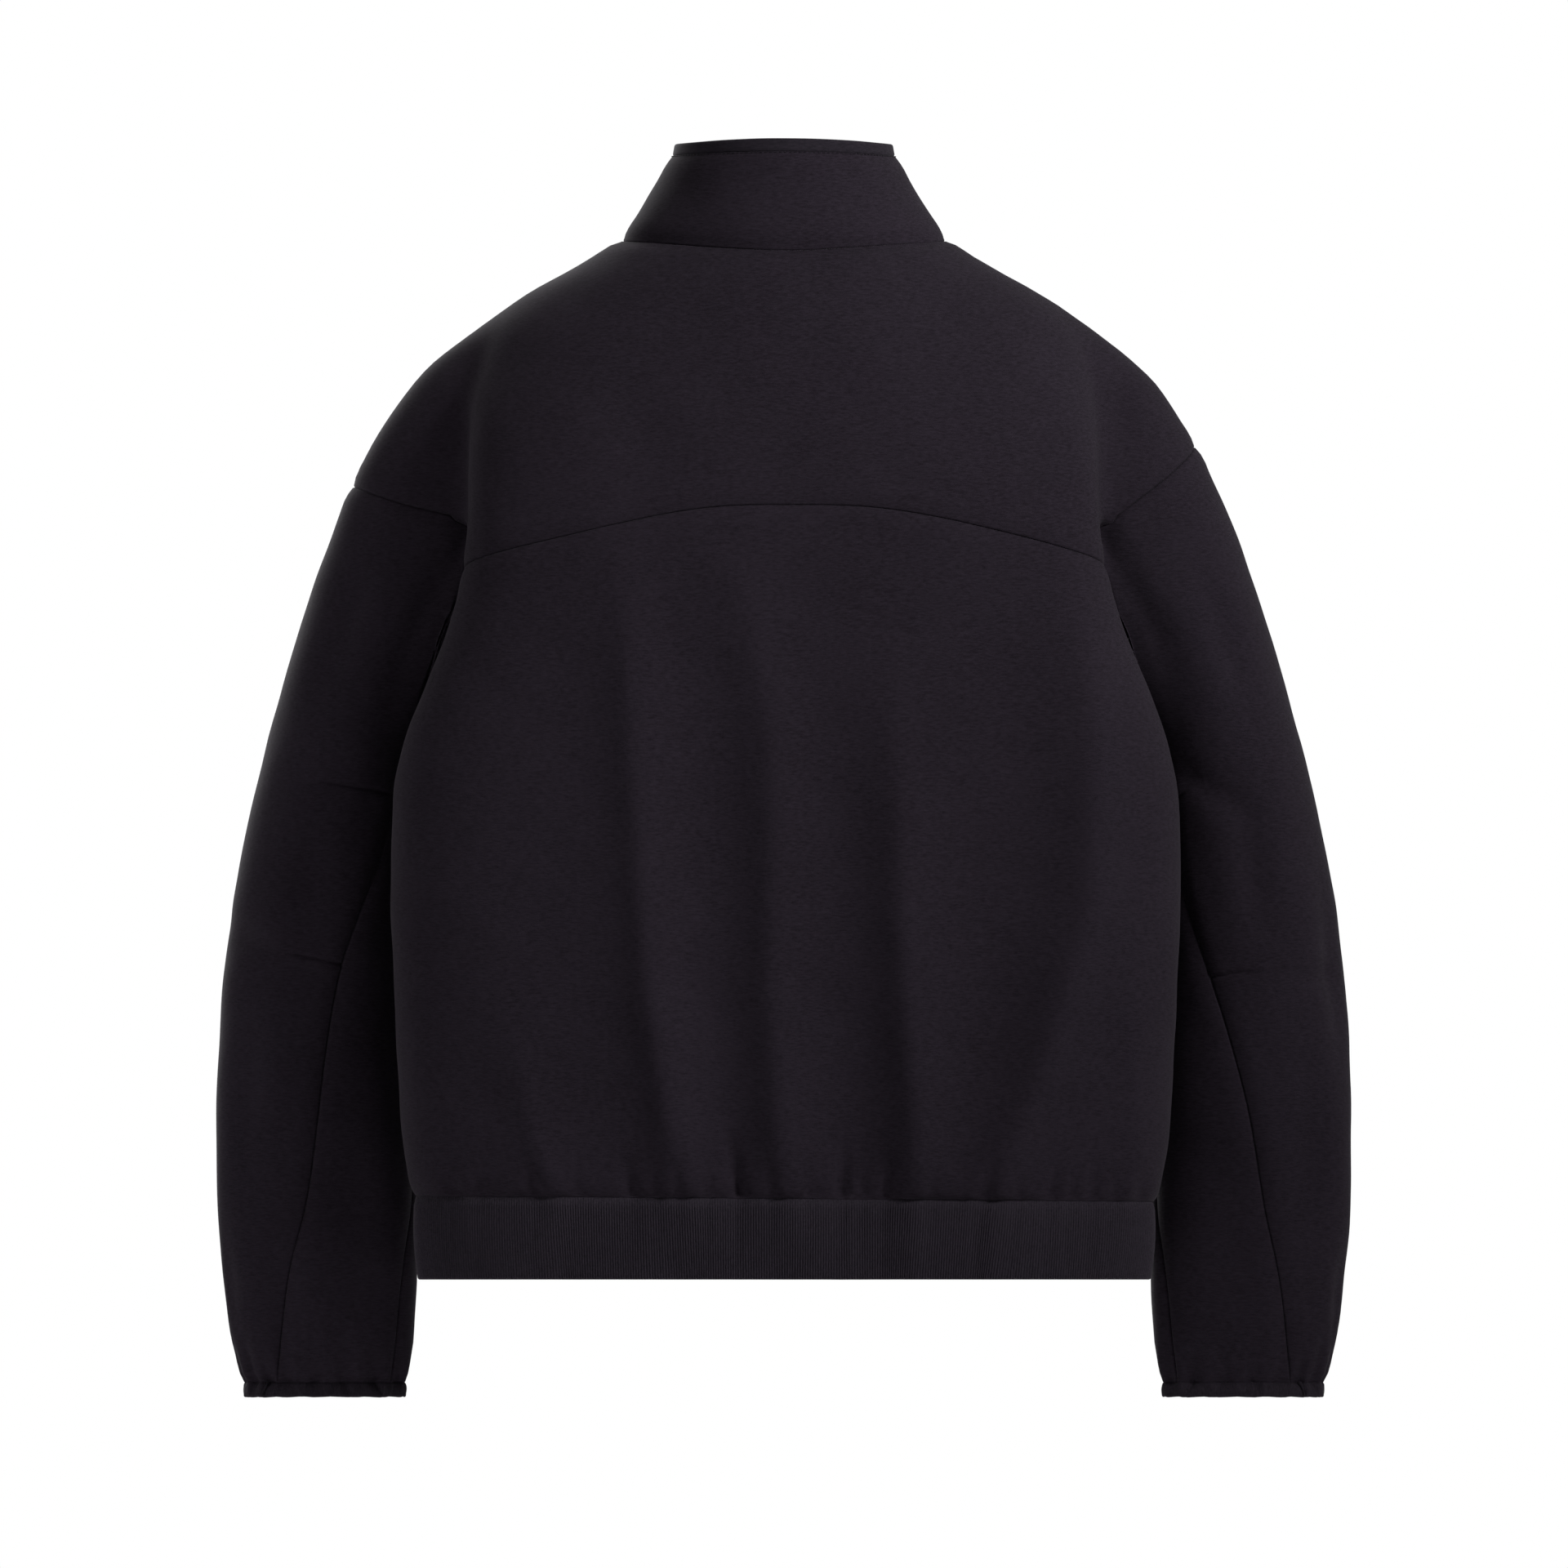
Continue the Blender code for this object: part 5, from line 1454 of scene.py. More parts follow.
@dataclass
class CutPiece:
    """A cut piece of cloth: a closed thin shell whose edges roll down into its seams."""

    name: str
    wall: float
    # How far in from the seam each ring of the rolled edge lies, and how far below the face
    roll: tuple[Pair, ...] = (
        (0.00150, 0.0),
        (0.00085, 0.00018),
        (0.00040, 0.00060),
        (0.0, 0.0012),
    )
    sharpest: float = 1.5

    def into(self, points: Array, edges: Array, normals: Array) -> Array:
        """The way from each edge point into the piece, so long that both its edges move by 1.

        Args:
            points: The piece's points.
            edges: Its edges.
            normals: Its directions.

        Returns:
            A vector for each point, which is 0 away from the edge.
        """
        start, end = edges.T
        sideways = unit(np.cross(normals[start] + normals[end], points[end] - points[start]))
        total = np.zeros_like(points)
        np.add.at(total, start, sideways)
        np.add.at(total, end, sideways)
        length = np.linalg.norm(total, axis=1, keepdims=True)
        return unit(total) * np.minimum(2.0 / np.maximum(length, TINY), self.sharpest)

    def build(self, skin: FineSkin, materials: Iterable[Material]) -> Piece:
        """Builds the piece.

        Args:
            skin: The draped skin.
            materials: The cloth's face and its inside.

        Returns:
            The piece.
        """
        ids, local = np.unique(skin.faces(self.name), return_inverse=True)
        local = local.reshape(-1, 4)
        face, normals = skin.points[ids], skin.normals[ids]
        edges = edges_of(local)
        edge_ids = np.unique(edges)
        into = self.into(face, edges, normals)
        inner = face - self.wall * normals
        inner[edge_ids] += into[edge_ids] * self.roll[-1][0]
        rings = [
            face[edge_ids] + into[edge_ids] * inset - normals[edge_ids] * sink
            for inset, sink in self.roll
        ]
        outer = face.copy()
        outer[edge_ids] = rings[0]
        count, ring_count = len(ids), len(edge_ids)
        number = np.zeros(count, int)
        number[edge_ids] = np.arange(ring_count)
        start, end = number[edges.T]
        levels = [edge_ids]
        for ring in range(1, len(rings)):
            levels.append(2 * count + (ring - 1) * ring_count + np.arange(ring_count))
        levels.append(count + edge_ids)
        strips = [
            np.stack([above[end], above[start], below[start], below[end]], axis=1)
            for above, below in zip(levels, levels[1:])
        ]
        faces = np.concatenate([local, local[:, ::-1] + count, *strips])
        slots = np.zeros(len(faces), np.int32)
        slots[len(local) : 2 * len(local)] = 1
        points = np.concatenate([outer, inner, *rings[1:]])
        piece = link_piece(f"{self.name}_cloth", points, faces.tolist(), slots, materials)
        CUTS[self.name].declare(piece)
        settle(piece, self.name)
        return piece


@dataclass(frozen=True)
class Dart:
    """A short dart at a sleeve's elbow, from its point to the elbow seam, as (x, z) from behind."""

    side: Side
    start: Pair
    end: Pair
    depth: float = 0.0011
    half_width: float = 0.0011
    reach: float = 0.008
    # The fine rows beside the dart, in its half widths
    rows: tuple[float, ...] = (-2.6, -1.3, -0.7, 0.0, 0.7, 1.3, 2.6)
    point_fade: float = 0.012
    seam_fade: float = 0.006
    lip_share: float = 0.35
    lip_at: float = 3.2 * MM
    lip_reach: float = 2.0 * MM
    merge: float = 1e-6

    def sew(self, piece: Piece, sleeve: SleeveForm) -> None:
        """Cuts fine rows into the sleeve's back along the dart, and sinks them.

        Args:
            piece: The sleeve's piece.
            sleeve: The sleeve's form.
        """
        first = np.array(self.start)
        along = np.array(self.end) - first
        length = float(np.linalg.norm(along))
        along /= length
        square = np.array([-along[1], along[0]])

        def place(point: Vector) -> tuple[float, float, bool]:
            """A point's place along the dart and beside it, and whether it is near."""
            x, z = point.x - first[0], point.z - first[1]
            lengthwise, beside = x * along[0] + z * along[1], x * square[0] + z * square[1]
            near = -self.reach < lengthwise < length + self.reach and abs(beside) < self.reach
            near = near and point.y > float(sleeve.table.at("middle_y", point.z))
            return lengthwise, beside, near

        mesh = bmesh.new()
        mesh.from_mesh(piece.data)
        for offset in self.rows:
            near = [f for f in mesh.faces if place(f.calc_center_median())[2]]
            around = {*near, *(e for f in near for e in f.edges), *(v for f in near for v in f.verts)}
            through = first + square * offset * self.half_width
            bmesh.ops.bisect_plane(
                mesh,
                geom=list(around),
                dist=self.merge,
                plane_co=(through[0], 0.0, through[1]),
                plane_no=(square[0], 0.0, square[1]),
            )
        mesh.normal_update()
        for vertex in mesh.verts:
            lengthwise, beside, near = place(vertex.co)
            if near and vertex.normal.y > 0:
                fade = float(smooth_step(lengthwise / self.point_fade))
                fade *= float(smooth_step((length + self.seam_fade - lengthwise) / self.seam_fade))
                sink = math.exp(-((beside / self.half_width) ** 2))
                lip = self.lip_share * math.exp(-(((beside - self.lip_at) / self.lip_reach) ** 2))
                vertex.co -= vertex.normal * self.depth * (sink - lip) * fade
        mesh.to_mesh(piece.data)
        mesh.free()


DARTS = (
    Dart(Side.LEFT, (0.2880, -0.3305), (0.2450, -0.3385)),
    Dart(Side.LEFT, (0.3065, -0.4360), (0.2708, -0.4435)),
    Dart(Side.RIGHT, (-0.2930, -0.4470), (-0.2622, -0.4520)),
    Dart(Side.RIGHT, (-0.2500, -0.3350), (-0.2395, -0.3425)),
)


class Ring:
    """A closed loop of the skin's points in order round a middle, read at any angle."""

    SAMPLES = 4001

    def __init__(self, points: Array, middle: Pair) -> None:
        """Orders the points.

        Args:
            points: The loop's points.
            middle: The (x, y) that it runs round.
        """
        self.middle = np.array(middle)
        turned = np.arctan2(points[:, 1] - middle[1], points[:, 0] - middle[0]) % math.tau
        order = np.argsort(turned)
        self.turned, self.points = turned[order], points[order]

    def at(self, turned: Array) -> Array:
        """The loop's points at angles about the middle."""
        read = [np.interp(turned, self.turned, axis, period=math.tau) for axis in self.points.T]
        return np.stack(read, axis=1)

    def even_turns(self, count: int) -> Array:
        """Angles that space count points evenly along the loop."""
        dense = np.linspace(0.0, math.tau, self.SAMPLES)
        steps = np.linalg.norm(np.diff(self.at(dense), axis=0), axis=1)
        travelled = np.concatenate([[0.0], np.cumsum(steps)])
        return np.interp(np.arange(count) * travelled[-1] / count, travelled, dense)


@dataclass
class EdgeBand:
    """A band that finishes an opening: doubled cloth, from its seam to a rounded free edge."""

    name: str
    slot: str
    wall: float
    columns: int
    rows: int
    middle: Pair
    relief: Callable[[Array, float], Array]
    bulge: float = 0.0
    tuck: float = 0.0009
    seam_depth: float = 0.0007
    seam_reach: float = 0.0008
    edge_steps: int = 4
    inner_rows: int = 3

    def build(
        self, skin: FineSkin, beside: Sequence[str], materials: Iterable[Material]
    ) -> Piece:
        """Builds the band.

        Args:
            skin: The draped skin.
            beside: The pieces that it is sewn to.
            materials: The band's finish.

        Returns:
            The band.
        """
        seam_ring = Ring(skin.points[skin.shared((self.name,), beside)], self.middle)
        turned = seam_ring.even_turns(self.columns)
        start = seam_ring.at(turned)
        end = Ring(skin.points[skin.rim(self.name)], self.middle).at(turned)
        length = np.linalg.norm(end - start, axis=1, keepdims=True)
        along = (end - start) / length
        core = (start + end) / 2
        out = unit(np.cross(np.roll(core, -1, axis=0) - np.roll(core, 1, axis=0), along))
        out *= np.sign(row_sums(out[:, :2] * (start[:, :2] - self.middle)))
        radius = self.wall / 2
        share = (np.arange(self.columns) / self.columns)[:, None]
        last = (length - radius) / length

        def row(step: float, height: Array | float) -> Array:
            """A row at a share of the way down to the free edge, at a height over the skin."""
            at = last * step - self.tuck / length * (1.0 - step)
            swell = self.bulge * math.sin(math.pi * step)
            return start + along * (length * at) + out * (swell + height)

        rows = []
        for step in np.linspace(0.0, 1.0, self.rows):
            sink = self.seam_depth * bell(step * length.mean() / self.seam_reach)
            rows.append(row(step, self.relief(share, step) - sink))
        core = start + along * (length - radius) - out * radius
        edge_relief = self.relief(share, 1.0)
        for angle in np.linspace(0.0, math.pi, self.edge_steps + 2)[1:-1]:
            reach = radius + edge_relief * (1 + math.cos(angle)) / 2
            rows.append(core + out * (math.cos(angle) * reach) + along * (math.sin(angle) * radius))
        rows += [row(step, -self.wall) for step in np.linspace(1.0, 0.0, self.inner_rows)]
        points = np.concatenate(rows)
        net = np.arange(len(points)).reshape(len(rows), self.columns)
        faces = quads_of(closed(np.concatenate([net, net[:1]])))
        first = points[faces[0]]
        if np.cross(first[2] - first[0], first[3] - first[1]) @ out[0] < 0:
            faces = faces[:, ::-1]
        slots = np.zeros(len(faces), np.int32)
        piece = link_piece(f"{self.name}_knit", points, faces.tolist(), slots, materials)
        CUTS[self.name].declare(piece)
        settle(piece, self.name)
        return piece


@dataclass(frozen=True)
class Ribs:
    """Upright ribs of a knitted band, a little uneven in width, which fade out at its seam."""

    count: int
    height: float
    wander: Pair = (0.35, 17.0)
    fade: float = 0.06
    fullness: float = 1.25

    def __call__(self, share: Array, along: float) -> Array:
        """The relief at shares of the way round and along the band."""
        size, waves = self.wander
        wave = np.cos(math.tau * self.count * share + size * np.sin(math.tau * waves * share))
        return self.height * smooth_step(along / self.fade) * np.clip(wave * self.fullness, -1.0, 1.0)


@dataclass(frozen=True)
class Ruffle:
    """The small waves of cloth drawn up by elastic, uneven in size and place."""

    waves: int
    height: float

    def __call__(self, share: Array, along: float) -> Array:
        """The relief at shares of the way round and along the band."""
        turn = math.tau * share
        uneven = 0.6 + 0.4 * np.sin(5 * turn + 1.1) * np.sin(3 * turn + 0.4)
        wave = np.sin(self.waves * turn + 1.4 * np.sin(4 * turn))
        cross = 0.35 * np.sin((self.waves * 2 + 3) * turn + 5.0 * along)
        return self.height * uneven * (wave + cross) * (0.55 + 0.45 * np.sin(math.pi * along))


@dataclass(frozen=True)
class Plain:
    """No relief but a slight unevenness."""

    height: float

    def __call__(self, share: Array, along: float) -> Array:
        """The relief at shares of the way round and along the band."""
        turn = math.tau * share
        return self.height * np.sin(9 * turn + 2.0 * along) * np.sin(4 * turn + 0.7)


@dataclass
class StitchRow:
    """A row of lock stitches that lies in the collar just below its top band."""

    name: str = "collar_edge_stitches"
    pitch: float = 0.0030
    thread: float = 0.00028
    stitch: float = 0.0023
    below: float = 0.0011
    proud: float = 0.00002
    sides: int = 6
    look_out: float = 0.01
    measured_points: int = 400
    # A stitch's rings: place along it, thickness and lift
    profile: tuple[Triple, ...] = (
        (-0.5, 0.15, -0.35),
        (-0.38, 0.75, 0.0),
        (0.0, 1.0, 0.25),
        (0.38, 0.75, 0.0),
        (0.5, 0.15, -0.35),
    )

    def build(self, skin: FineSkin, middle: Pair, finish: Material) -> Piece:
        """Builds the row.

        Args:
            skin: The draped skin.
            middle: The (x, y) that the row runs round.
            finish: The thread's material.

        Returns:
            The stitches, as one piece.
        """
        seam = skin.shared(("collar_top_band",), ("collar",))
        ring = Ring(skin.points[seam], middle)
        outer_ring = Ring(skin.points[seam] + skin.normals[seam] * self.look_out, middle)
        foot_ring = Ring(skin.points[skin.shared(("collar",), ("back_yoke", "front"))], middle)
        steps = np.diff(ring.at(ring.even_turns(self.measured_points)), axis=0)
        count = round(float(np.linalg.norm(steps, axis=1).sum()) / self.pitch)
        turned = ring.even_turns(count)
        seat = ring.at(turned)
        down = unit(foot_ring.at(turned) - seat)
        along = unit(np.roll(seat, -1, axis=0) - np.roll(seat, 1, axis=0))
        out = np.cross(along, down)
        out *= np.sign(row_sums(out * (outer_ring.at(turned) - seat)))
        seat = seat + down * self.below + out * self.proud
        turn = math.tau * np.arange(self.sides)[:, None] / self.sides
        across = np.cos(turn) * down[:, None] + np.sin(turn) * out[:, None]
        place, size, lift = (column[:, None] for column in np.array(self.profile).T)
        centre = seat[:, None] + along[:, None] * place * self.stitch + out[:, None] * lift * self.thread
        points = centre[:, :, None] + across[:, None] * (self.thread * size[:, :, None])
        numbers = np.arange(points[..., 0].size).reshape(points.shape[:3])
        faces = []
        for stitch in numbers:
            faces += quads_of(closed(stitch).T).tolist()
            faces += [stitch[0, ::-1].tolist(), stitch[-1].tolist()]
        slots = np.zeros(len(faces), np.int32)
        piece = link_piece(self.name, points.reshape(-1, 3), faces, slots, [finish])
        settle(piece, None)
        return piece


class Nodes:
    """Short ways to add shader nodes to a material."""

    def __init__(self, name: str) -> None:
        """Starts a material.

        Args:
            name: Its name.
        """
        self.material = bpy.data.materials.new(name)
        self.material.use_nodes = True
        self.tree = self.material.node_tree
        self.shader = self.tree.nodes["Principled BSDF"]
        self.place = self.add("ShaderNodeTexCoord").outputs["Object"]

    def add(self, kind: str, **values: object) -> bpy.types.Node:
        """Adds a node and sets its properties."""
        node = self.tree.nodes.new(kind)
        for name, value in values.items():
            setattr(node, name, value)
        return node

    def link(self, output: Socket, target: Socket) -> None:
        """Joins an output to an input."""
        self.tree.links.new(output, target)

    def noise(self, scale: Triple, detail: float = 2.0, rough: float = 0.5) -> Socket:
        """A noise whose grain has the given number of cells a metre along each axis."""
        mapping = self.add("ShaderNodeMapping")
        mapping.inputs["Scale"].default_value = scale
        self.link(self.place, mapping.inputs["Vector"])
        noise = self.add("ShaderNodeTexNoise")
        noise.inputs["Scale"].default_value = 1.0
        noise.inputs["Detail"].default_value = detail
        noise.inputs["Roughness"].default_value = rough
        self.link(mapping.outputs["Vector"], noise.inputs["Vector"])
        return noise.outputs["Fac"]

    def math(self, operation: str, first: object, second: object = 0.0) -> Socket:
        """A sum, product or other operation on two values or outputs."""
        node = self.add("ShaderNodeMath", operation=operation)
        for socket, value in zip(node.inputs, (first, second)):
            if isinstance(value, Socket):
                self.link(value, socket)
            else:
                socket.default_value = value
        return node.outputs["Value"]

    def ramp(self, factor: Socket, stops: Sequence[tuple[float, Triple]]) -> Socket:
        """A colour for each value of a factor."""
        node = self.add("ShaderNodeValToRGB")
        elements = node.color_ramp.elements
        while len(elements) < len(stops):
            elements.new(0.5)
        for element, (at, colour) in zip(elements, stops):
            element.position = at
            element.color = (*colour, 1.0)
        self.link(factor, node.inputs["Fac"])
        return node.outputs["Color"]

    def bump(
        self, height: Socket, distance: float, strength: float, before: Socket | None = None
    ) -> Socket:
        """A bump of a height in metres."""
        node = self.add("ShaderNodeBump")
        node.inputs["Distance"].default_value = distance
        node.inputs["Strength"].default_value = strength
        self.link(height, node.inputs["Height"])
        if before is not None:
            self.link(before, node.inputs["Normal"])
        return node.outputs["Normal"]


@dataclass(frozen=True)
class KnitFinish:
    """A brushed or ribbed knit: its dark and light yarns, grain, nap and sheen."""

    name: str
    dark: Triple
    light: Triple
    grain: Triple
    fibre: Triple
    bump: float
    roughness: float
    sheen: float
    sheen_roughness: float
    sheen_tint: Triple
    blotch: float = 14.0
    specular: float = 0.06
    unevenness: float = 0.10
    # How much the grain, fibre and blotches count, and where the dark, middle and light yarns lie
    shares: Triple = (0.62, 0.26, 0.12)
    stops: Triple = (0.36, 0.5, 0.66)
    grain_detail: float = 3.0
    grain_rough: float = 0.62
    fibre_rough: float = 0.6
    fibre_height: float = 0.6
    grain_strength: float = 0.75
    fibre_strength: float = 0.6

    def make(self) -> Material:
        """Makes the material."""
        nodes = Nodes(self.name)
        grain = nodes.noise(self.grain, self.grain_detail, self.grain_rough)
        fibre = nodes.noise(self.fibre, rough=self.fibre_rough)
        blotch = nodes.noise((self.blotch, self.blotch, self.blotch))
        parts = zip((grain, fibre, blotch), self.shares)
        parts = [nodes.math("MULTIPLY", part, share) for part, share in parts]
        mixed = nodes.math("ADD", nodes.math("ADD", parts[0], parts[1]), parts[2])
        middle = tuple((a + b) / 2 for a, b in zip(self.dark, self.light))
        colour = nodes.ramp(mixed, list(zip(self.stops, (self.dark, middle, self.light))))
        uneven = nodes.math("MULTIPLY_ADD", fibre, self.unevenness)
        uneven.node.inputs[2].default_value = self.roughness - self.unevenness / 2
        relief = nodes.bump(grain, self.bump, self.grain_strength)
        relief = nodes.bump(fibre, self.bump * self.fibre_height, self.fibre_strength, relief)
        inputs = nodes.shader.inputs
        for name, output in (("Base Color", colour), ("Roughness", uneven), ("Normal", relief)):
            nodes.link(output, inputs[name])
        inputs["Specular IOR Level"].default_value = self.specular
        inputs["Sheen Weight"].default_value = self.sheen
        inputs["Sheen Roughness"].default_value = self.sheen_roughness
        inputs["Sheen Tint"].default_value = (*self.sheen_tint, 1.0)
        return nodes.material


FLEECE_FINISH = KnitFinish(
    "heather_double_knit", dark=(0.0061, 0.0044, 0.0066), light=(0.0143, 0.0110, 0.0159),
    grain=(260.0, 260.0, 1050.0), fibre=(1900.0, 1900.0, 3200.0), bump=0.00016, roughness=0.93,
    sheen=0.0210, sheen_roughness=0.38, sheen_tint=(0.92, 0.86, 0.96),
)
INSIDE_FINISH = KnitFinish(
    "brushed_inside", dark=(0.0061, 0.0044, 0.0066), light=(0.0165, 0.0132, 0.0187),
    grain=(520.0, 520.0, 620.0), fibre=(1500.0, 1500.0, 1500.0), bump=0.00030, roughness=0.95,
    sheen=0.0315, sheen_roughness=0.5, sheen_tint=(0.92, 0.86, 0.96),
)
RIB_FINISH = KnitFinish(
    "ribbed_knit", dark=(0.0081, 0.0067, 0.0094), light=(0.0207, 0.0168, 0.0228),
    grain=(900.0, 900.0, 820.0), fibre=(2400.0, 2400.0, 2400.0), bump=0.00018, roughness=0.92,
    sheen=0.0315, sheen_roughness=0.42, sheen_tint=(0.92, 0.87, 0.96),
)
BAND_FINISH = KnitFinish(
    "collar_facing", dark=(0.0066, 0.0055, 0.0077), light=(0.0149, 0.0121, 0.0165),
    grain=(300.0, 300.0, 1150.0), fibre=(2000.0, 2000.0, 2600.0), bump=0.00012, roughness=0.9,
    sheen=0.0315, sheen_roughness=0.36, sheen_tint=(0.94, 0.88, 0.97),
)
BINDING_FINISH = KnitFinish(
    "elastic_binding", dark=(0.0061, 0.0049, 0.0072), light=(0.0159, 0.0126, 0.0170),
    grain=(1400.0, 1400.0, 380.0), fibre=(2600.0, 2600.0, 2600.0), bump=0.00014, roughness=0.88,
    sheen=0.0261, sheen_roughness=0.36, sheen_tint=(0.94, 0.88, 0.97),
)
THREAD_FINISH = KnitFinish(
    "matching_thread", dark=(0.0033, 0.0027, 0.0039), light=(0.0088, 0.0072, 0.0099),
    grain=(2600.0, 2600.0, 2600.0), fibre=(5200.0, 5200.0, 5200.0), bump=0.00005, roughness=0.7,
    sheen=0.0156, sheen_roughness=0.35, sheen_tint=(0.95, 0.9, 0.98),
)

CUTS = {
    "back_yoke": SheetCut(0.600, 0.240, 0.126),
    "back_lower": SheetCut(0.600, 0.460, 0.270),
    "front": SheetCut(0.600, 0.600, 0.260),
    "collar": SheetCut(0.560, 0.080, 0.032),
    "collar_top_band": SheetCut(0.410, 0.0110, 0.0041),
    "hem_rib": SheetCut(1.180, 0.056, 0.066),
    "upper_sleeve_left": SheetCut(0.320, 0.600, 0.145),
    "upper_sleeve_right": SheetCut(0.330, 0.600, 0.149),
    "under_sleeve_left": SheetCut(0.120, 0.460, 0.0314),
    "under_sleeve_right": SheetCut(0.120, 0.460, 0.0297),
    "cuff_binding_left": SheetCut(0.270, 0.0110, 0.0025),
    "cuff_binding_right": SheetCut(0.270, 0.0110, 0.0025),
}


@dataclass
class Bands:
    """The bands that finish the neck, the hem and the cuffs."""

    skin: FineSkin
    ribs: Ribs = Ribs(count=700, height=0.00036)
    cuff_middle: Pair = (0.281, -0.068)
    neck_middle: Pair = (0.0, -0.016)
    hem_middle: Pair = (0.0, -0.010)
    columns_per_rib: int = 4
    band_columns: int = 420
    hem_rows: int = 9
    collar_rows: int = 6
    cuff_rows: int = 8
    hem_bulge: float = 0.0016
    cuff_bulge: float = 0.0006
    neck_relief: Plain = Plain(height=0.00008)
    cuff_relief: Ruffle = Ruffle(waves=27, height=0.00042)

    def hem(self, finish: Material) -> Piece:
        """Builds the ribbed waistband."""
        net = (self.ribs.count * self.columns_per_rib, self.hem_rows)
        place = self.hem_middle
        band = EdgeBand("hem_rib", "rib", RIB, *net, place, self.ribs, self.hem_bulge)
        return band.build(self.skin, ("back_lower", "front"), [finish])

    def collar_top(self, finish: Material) -> Piece:
        """Builds the collar's top band."""
        net, place = (self.band_columns, self.collar_rows), self.neck_middle
        name, slot = "collar_top_band", "collar_band"
        band = EdgeBand(name, slot, BAND_WALL, *net, place, self.neck_relief)
        return band.build(self.skin, ("collar",), [finish])

    def cuff(self, side: Side, finish: Material) -> Piece:
        """Builds one cuff's elastic binding."""
        net = (self.band_columns, self.cuff_rows)
        place = (self.cuff_middle[0] * side.mirror[0], self.cuff_middle[1])
        name, relief = f"cuff_binding_{side.value}", self.cuff_relief
        band = EdgeBand(name, "binding", CUFF_WALL, *net, place, relief, self.cuff_bulge)
        return band.build(self.skin, SLEEVE_PIECES[side], [finish])


@dataclass(frozen=True)
class Lamp:
    """A soft light: where it stands, its size and power, and how wide a beam it throws where."""

    name: str
    place: Triple
    size: Pair
    power: float
    target: Triple = (0.0, 0.0, -0.33)
    beam_degrees: float = 180.0

    def put(self) -> None:
        """Adds the light to the scene."""
        data = bpy.data.lights.new(self.name, "AREA")
        data.shape = "RECTANGLE"
        data.size, data.size_y = self.size
        data.energy = self.power
        data.spread = math.radians(self.beam_degrees)
        lamp = bpy.data.objects.new(self.name, data)
        lamp.location = self.place
        way = Vector(self.target) - Vector(self.place)
        lamp.rotation_euler = way.to_track_quat("-Z", "Y").to_euler()
        bpy.context.scene.collection.objects.link(lamp)


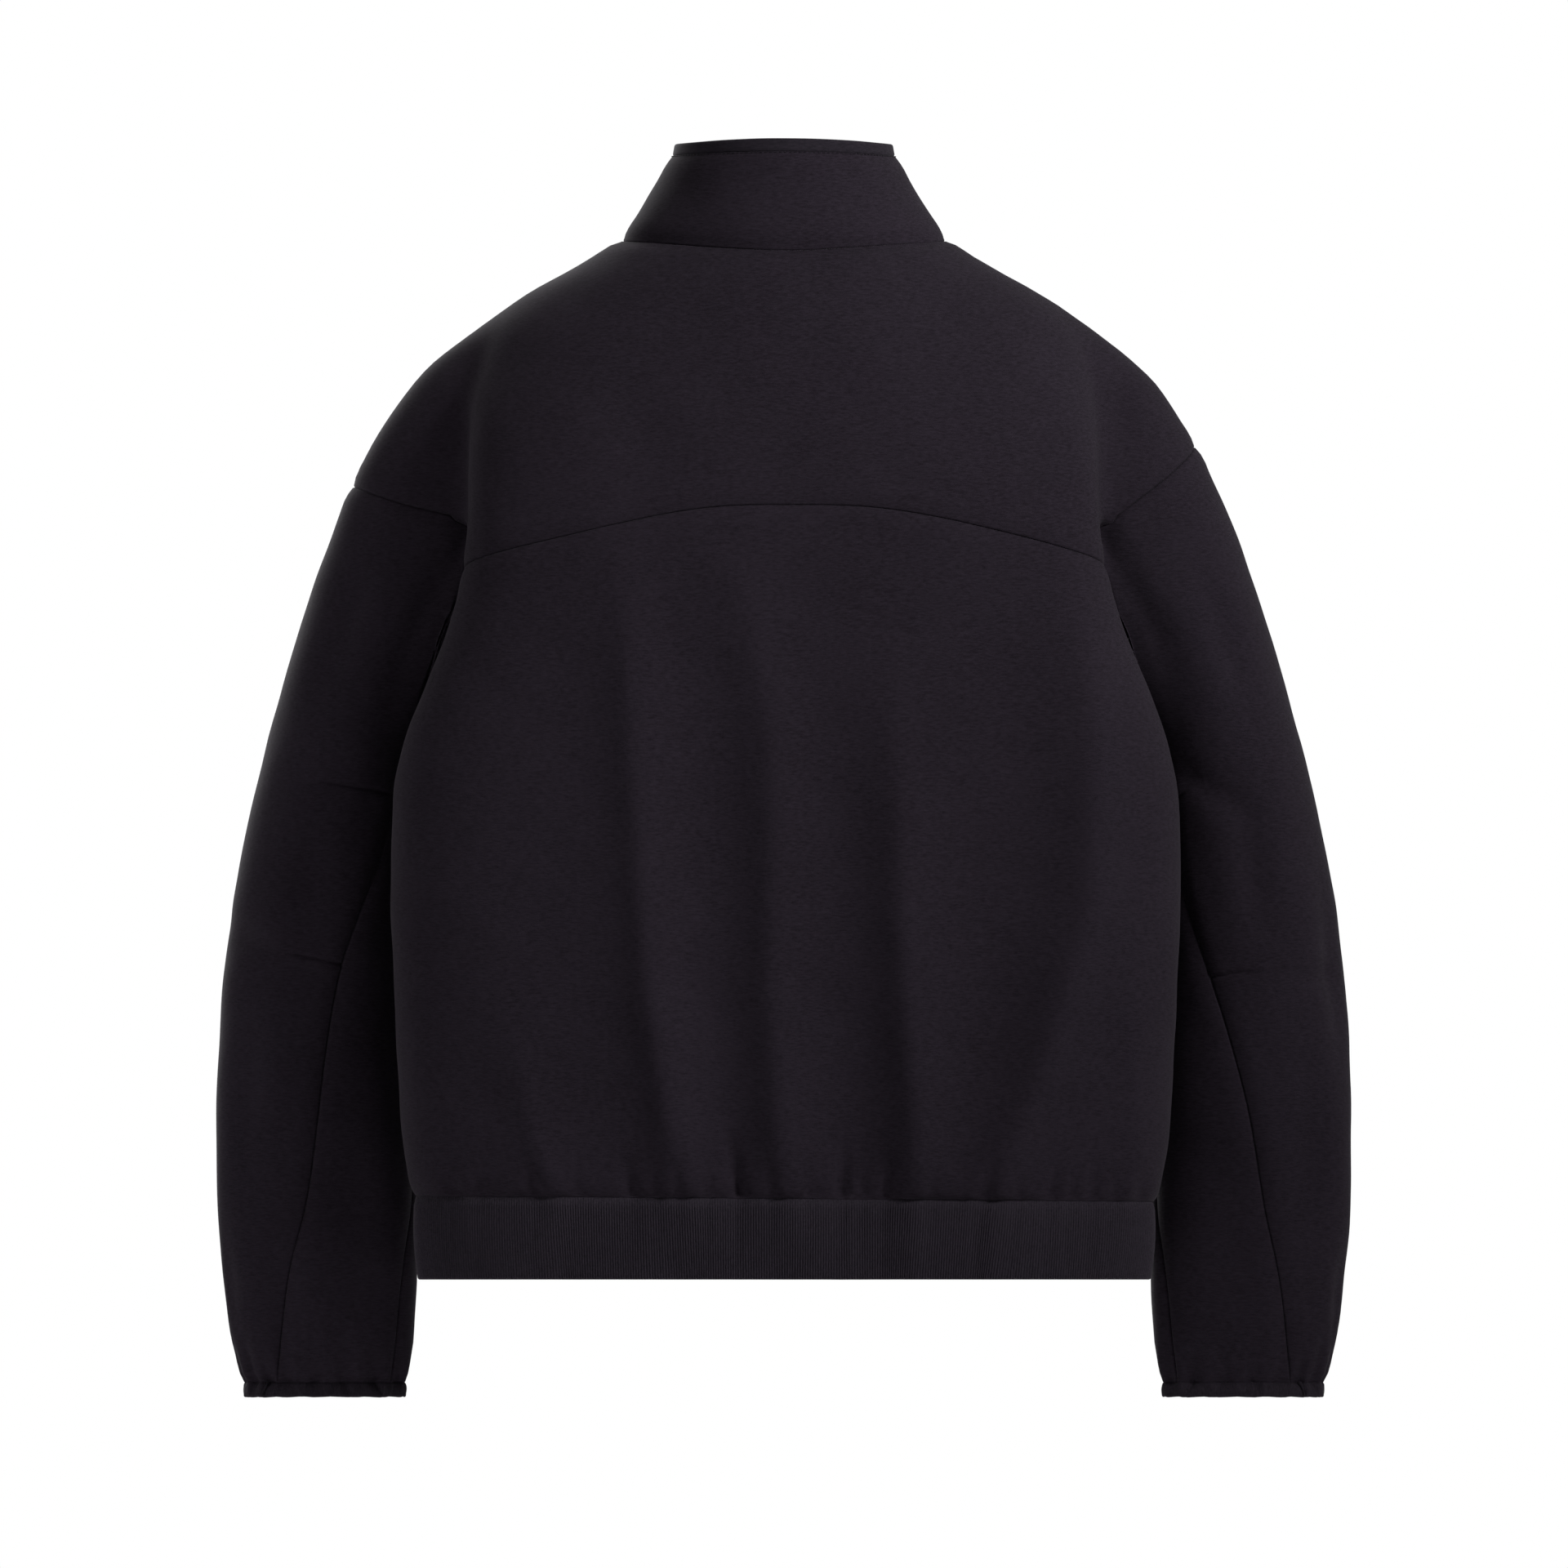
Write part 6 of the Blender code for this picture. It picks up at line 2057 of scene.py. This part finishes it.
@dataclass
class Studio:
    """The pale floor, the light and the camera behind the garment."""

    view_width: float = 0.960
    view_middle: float = -0.3335
    distance: float = 4.0
    farthest_seen: float = 20.0
    floor_z: float = -0.860
    floor_half: float = 4.0
    floor_tone: float = 0.86
    floor_roughness: float = 0.9
    wall: float = 1.0
    room: float = 0.13
    wall_edge: Pair = (-0.45, 0.10)
    lamps: tuple[Lamp, ...] = (
        Lamp("key_light", (-2.5, 2.05, 1.5), (0.8, 1.2), 14.2, (0.36, 0.0, -0.03), 40.0),
        Lamp("sleeve_light", (2.3, 1.3, -0.1), (0.7, 1.2), 1.0, (0.40, -0.05, -0.42), 24.0),
        Lamp("right_rim_light", (-2.0, -1.2, 0.5), (0.7, 1.8), 3.5),
        Lamp("left_rim_light", (2.0, -1.2, 0.5), (0.7, 1.8), 3.5),
        Lamp("front_light", (1.6, -3.0, 0.8), (1.4, 1.4), 95.0),
    )

    def make_floor(self) -> None:
        """Makes the plain pale floor."""
        half, z = self.floor_half, self.floor_z
        corners = np.array([(-half, -half, z), (half, -half, z), (half, half, z), (-half, half, z)])
        nodes = Nodes("pale_floor")
        nodes.shader.inputs["Base Color"].default_value = (*[self.floor_tone] * 3, 1.0)
        nodes.shader.inputs["Roughness"].default_value = self.floor_roughness
        floor = link_piece("floor", corners, [(0, 1, 2, 3)], np.zeros(1, np.int32), [nodes.material])

    def make_surroundings(self) -> None:
        """Makes the surroundings: a white wall beyond the garment's front, and a dimmer room."""
        world = bpy.data.worlds.new("studio_room")
        world.use_nodes = True
        tree = world.node_tree
        background = tree.nodes["Background"]
        background.inputs["Color"].default_value = (1.0, 1.0, 1.0, 1.0)
        place = tree.nodes.new("ShaderNodeTexCoord")
        split = tree.nodes.new("ShaderNodeSeparateXYZ")
        level = tree.nodes.new("ShaderNodeMapRange")
        level.interpolation_type = "SMOOTHSTEP"
        settings = (*self.wall_edge, self.wall, self.room)
        for name, value in zip(("From Min", "From Max", "To Min", "To Max"), settings):
            level.inputs[name].default_value = value
        tree.links.new(place.outputs["Generated"], split.inputs[0])
        tree.links.new(split.outputs["Y"], level.inputs["Value"])
        tree.links.new(level.outputs["Result"], background.inputs["Strength"])
        bpy.context.scene.world = world

    def make_camera(self) -> None:
        """Makes the camera, level and square to the garment's back."""
        data = bpy.data.cameras.new("camera")
        data.type = "ORTHO"
        data.ortho_scale = self.view_width
        data.clip_end = self.farthest_seen
        camera = bpy.data.objects.new("camera", data)
        camera.location = (0.0, self.distance, self.view_middle)
        camera.rotation_euler = (math.pi / 2, 0.0, math.pi)
        bpy.context.scene.collection.objects.link(camera)
        bpy.context.scene.camera = camera

    def make(self) -> None:
        """Makes the whole studio."""
        self.make_floor()
        self.make_surroundings()
        self.make_camera()
        for lamp in self.lamps:
            lamp.put()
        bpy.context.scene.view_settings.view_transform = "Standard"


def report(piece: Piece) -> None:
    """Reports a piece's size."""
    piece.data.calc_loop_triangles()
    log.info("%s: %d triangles", piece.name, len(piece.data.loop_triangles))


def main() -> None:
    """Builds the garment's pieces and the studio, and reports each piece."""
    logging.basicConfig(level=logging.INFO, format="%(name)s %(message)s")
    pattern = Pattern()
    pattern.make()
    skin = FineSkin(pattern)
    Drape(skin, pattern.sleeve).apply()
    log.info("skin: %d quads", len(skin.quads))

    face, inside = FLEECE_FINISH.make(), INSIDE_FINISH.make()
    cloth = ["back_yoke", "back_lower", "front", "collar"]
    cloth += [name for names in SLEEVE_PIECES.values() for name in names]
    for name in cloth:
        wall = COLLAR_WALL if name == "collar" else FLEECE
        piece = CutPiece(name, wall).build(skin, (face, inside))
        for dart in DARTS:
            if name == f"upper_sleeve_{dart.side.value}":
                dart.sew(piece, pattern.sleeve)
        report(piece)

    bands = Bands(skin)
    report(bands.hem(RIB_FINISH.make()))
    report(bands.collar_top(BAND_FINISH.make()))
    binding = BINDING_FINISH.make()
    for side in Side:
        report(bands.cuff(side, binding))
    report(StitchRow().build(skin, bands.neck_middle, THREAD_FINISH.make()))

    Studio().make()


if __name__ == "__main__":
    main()
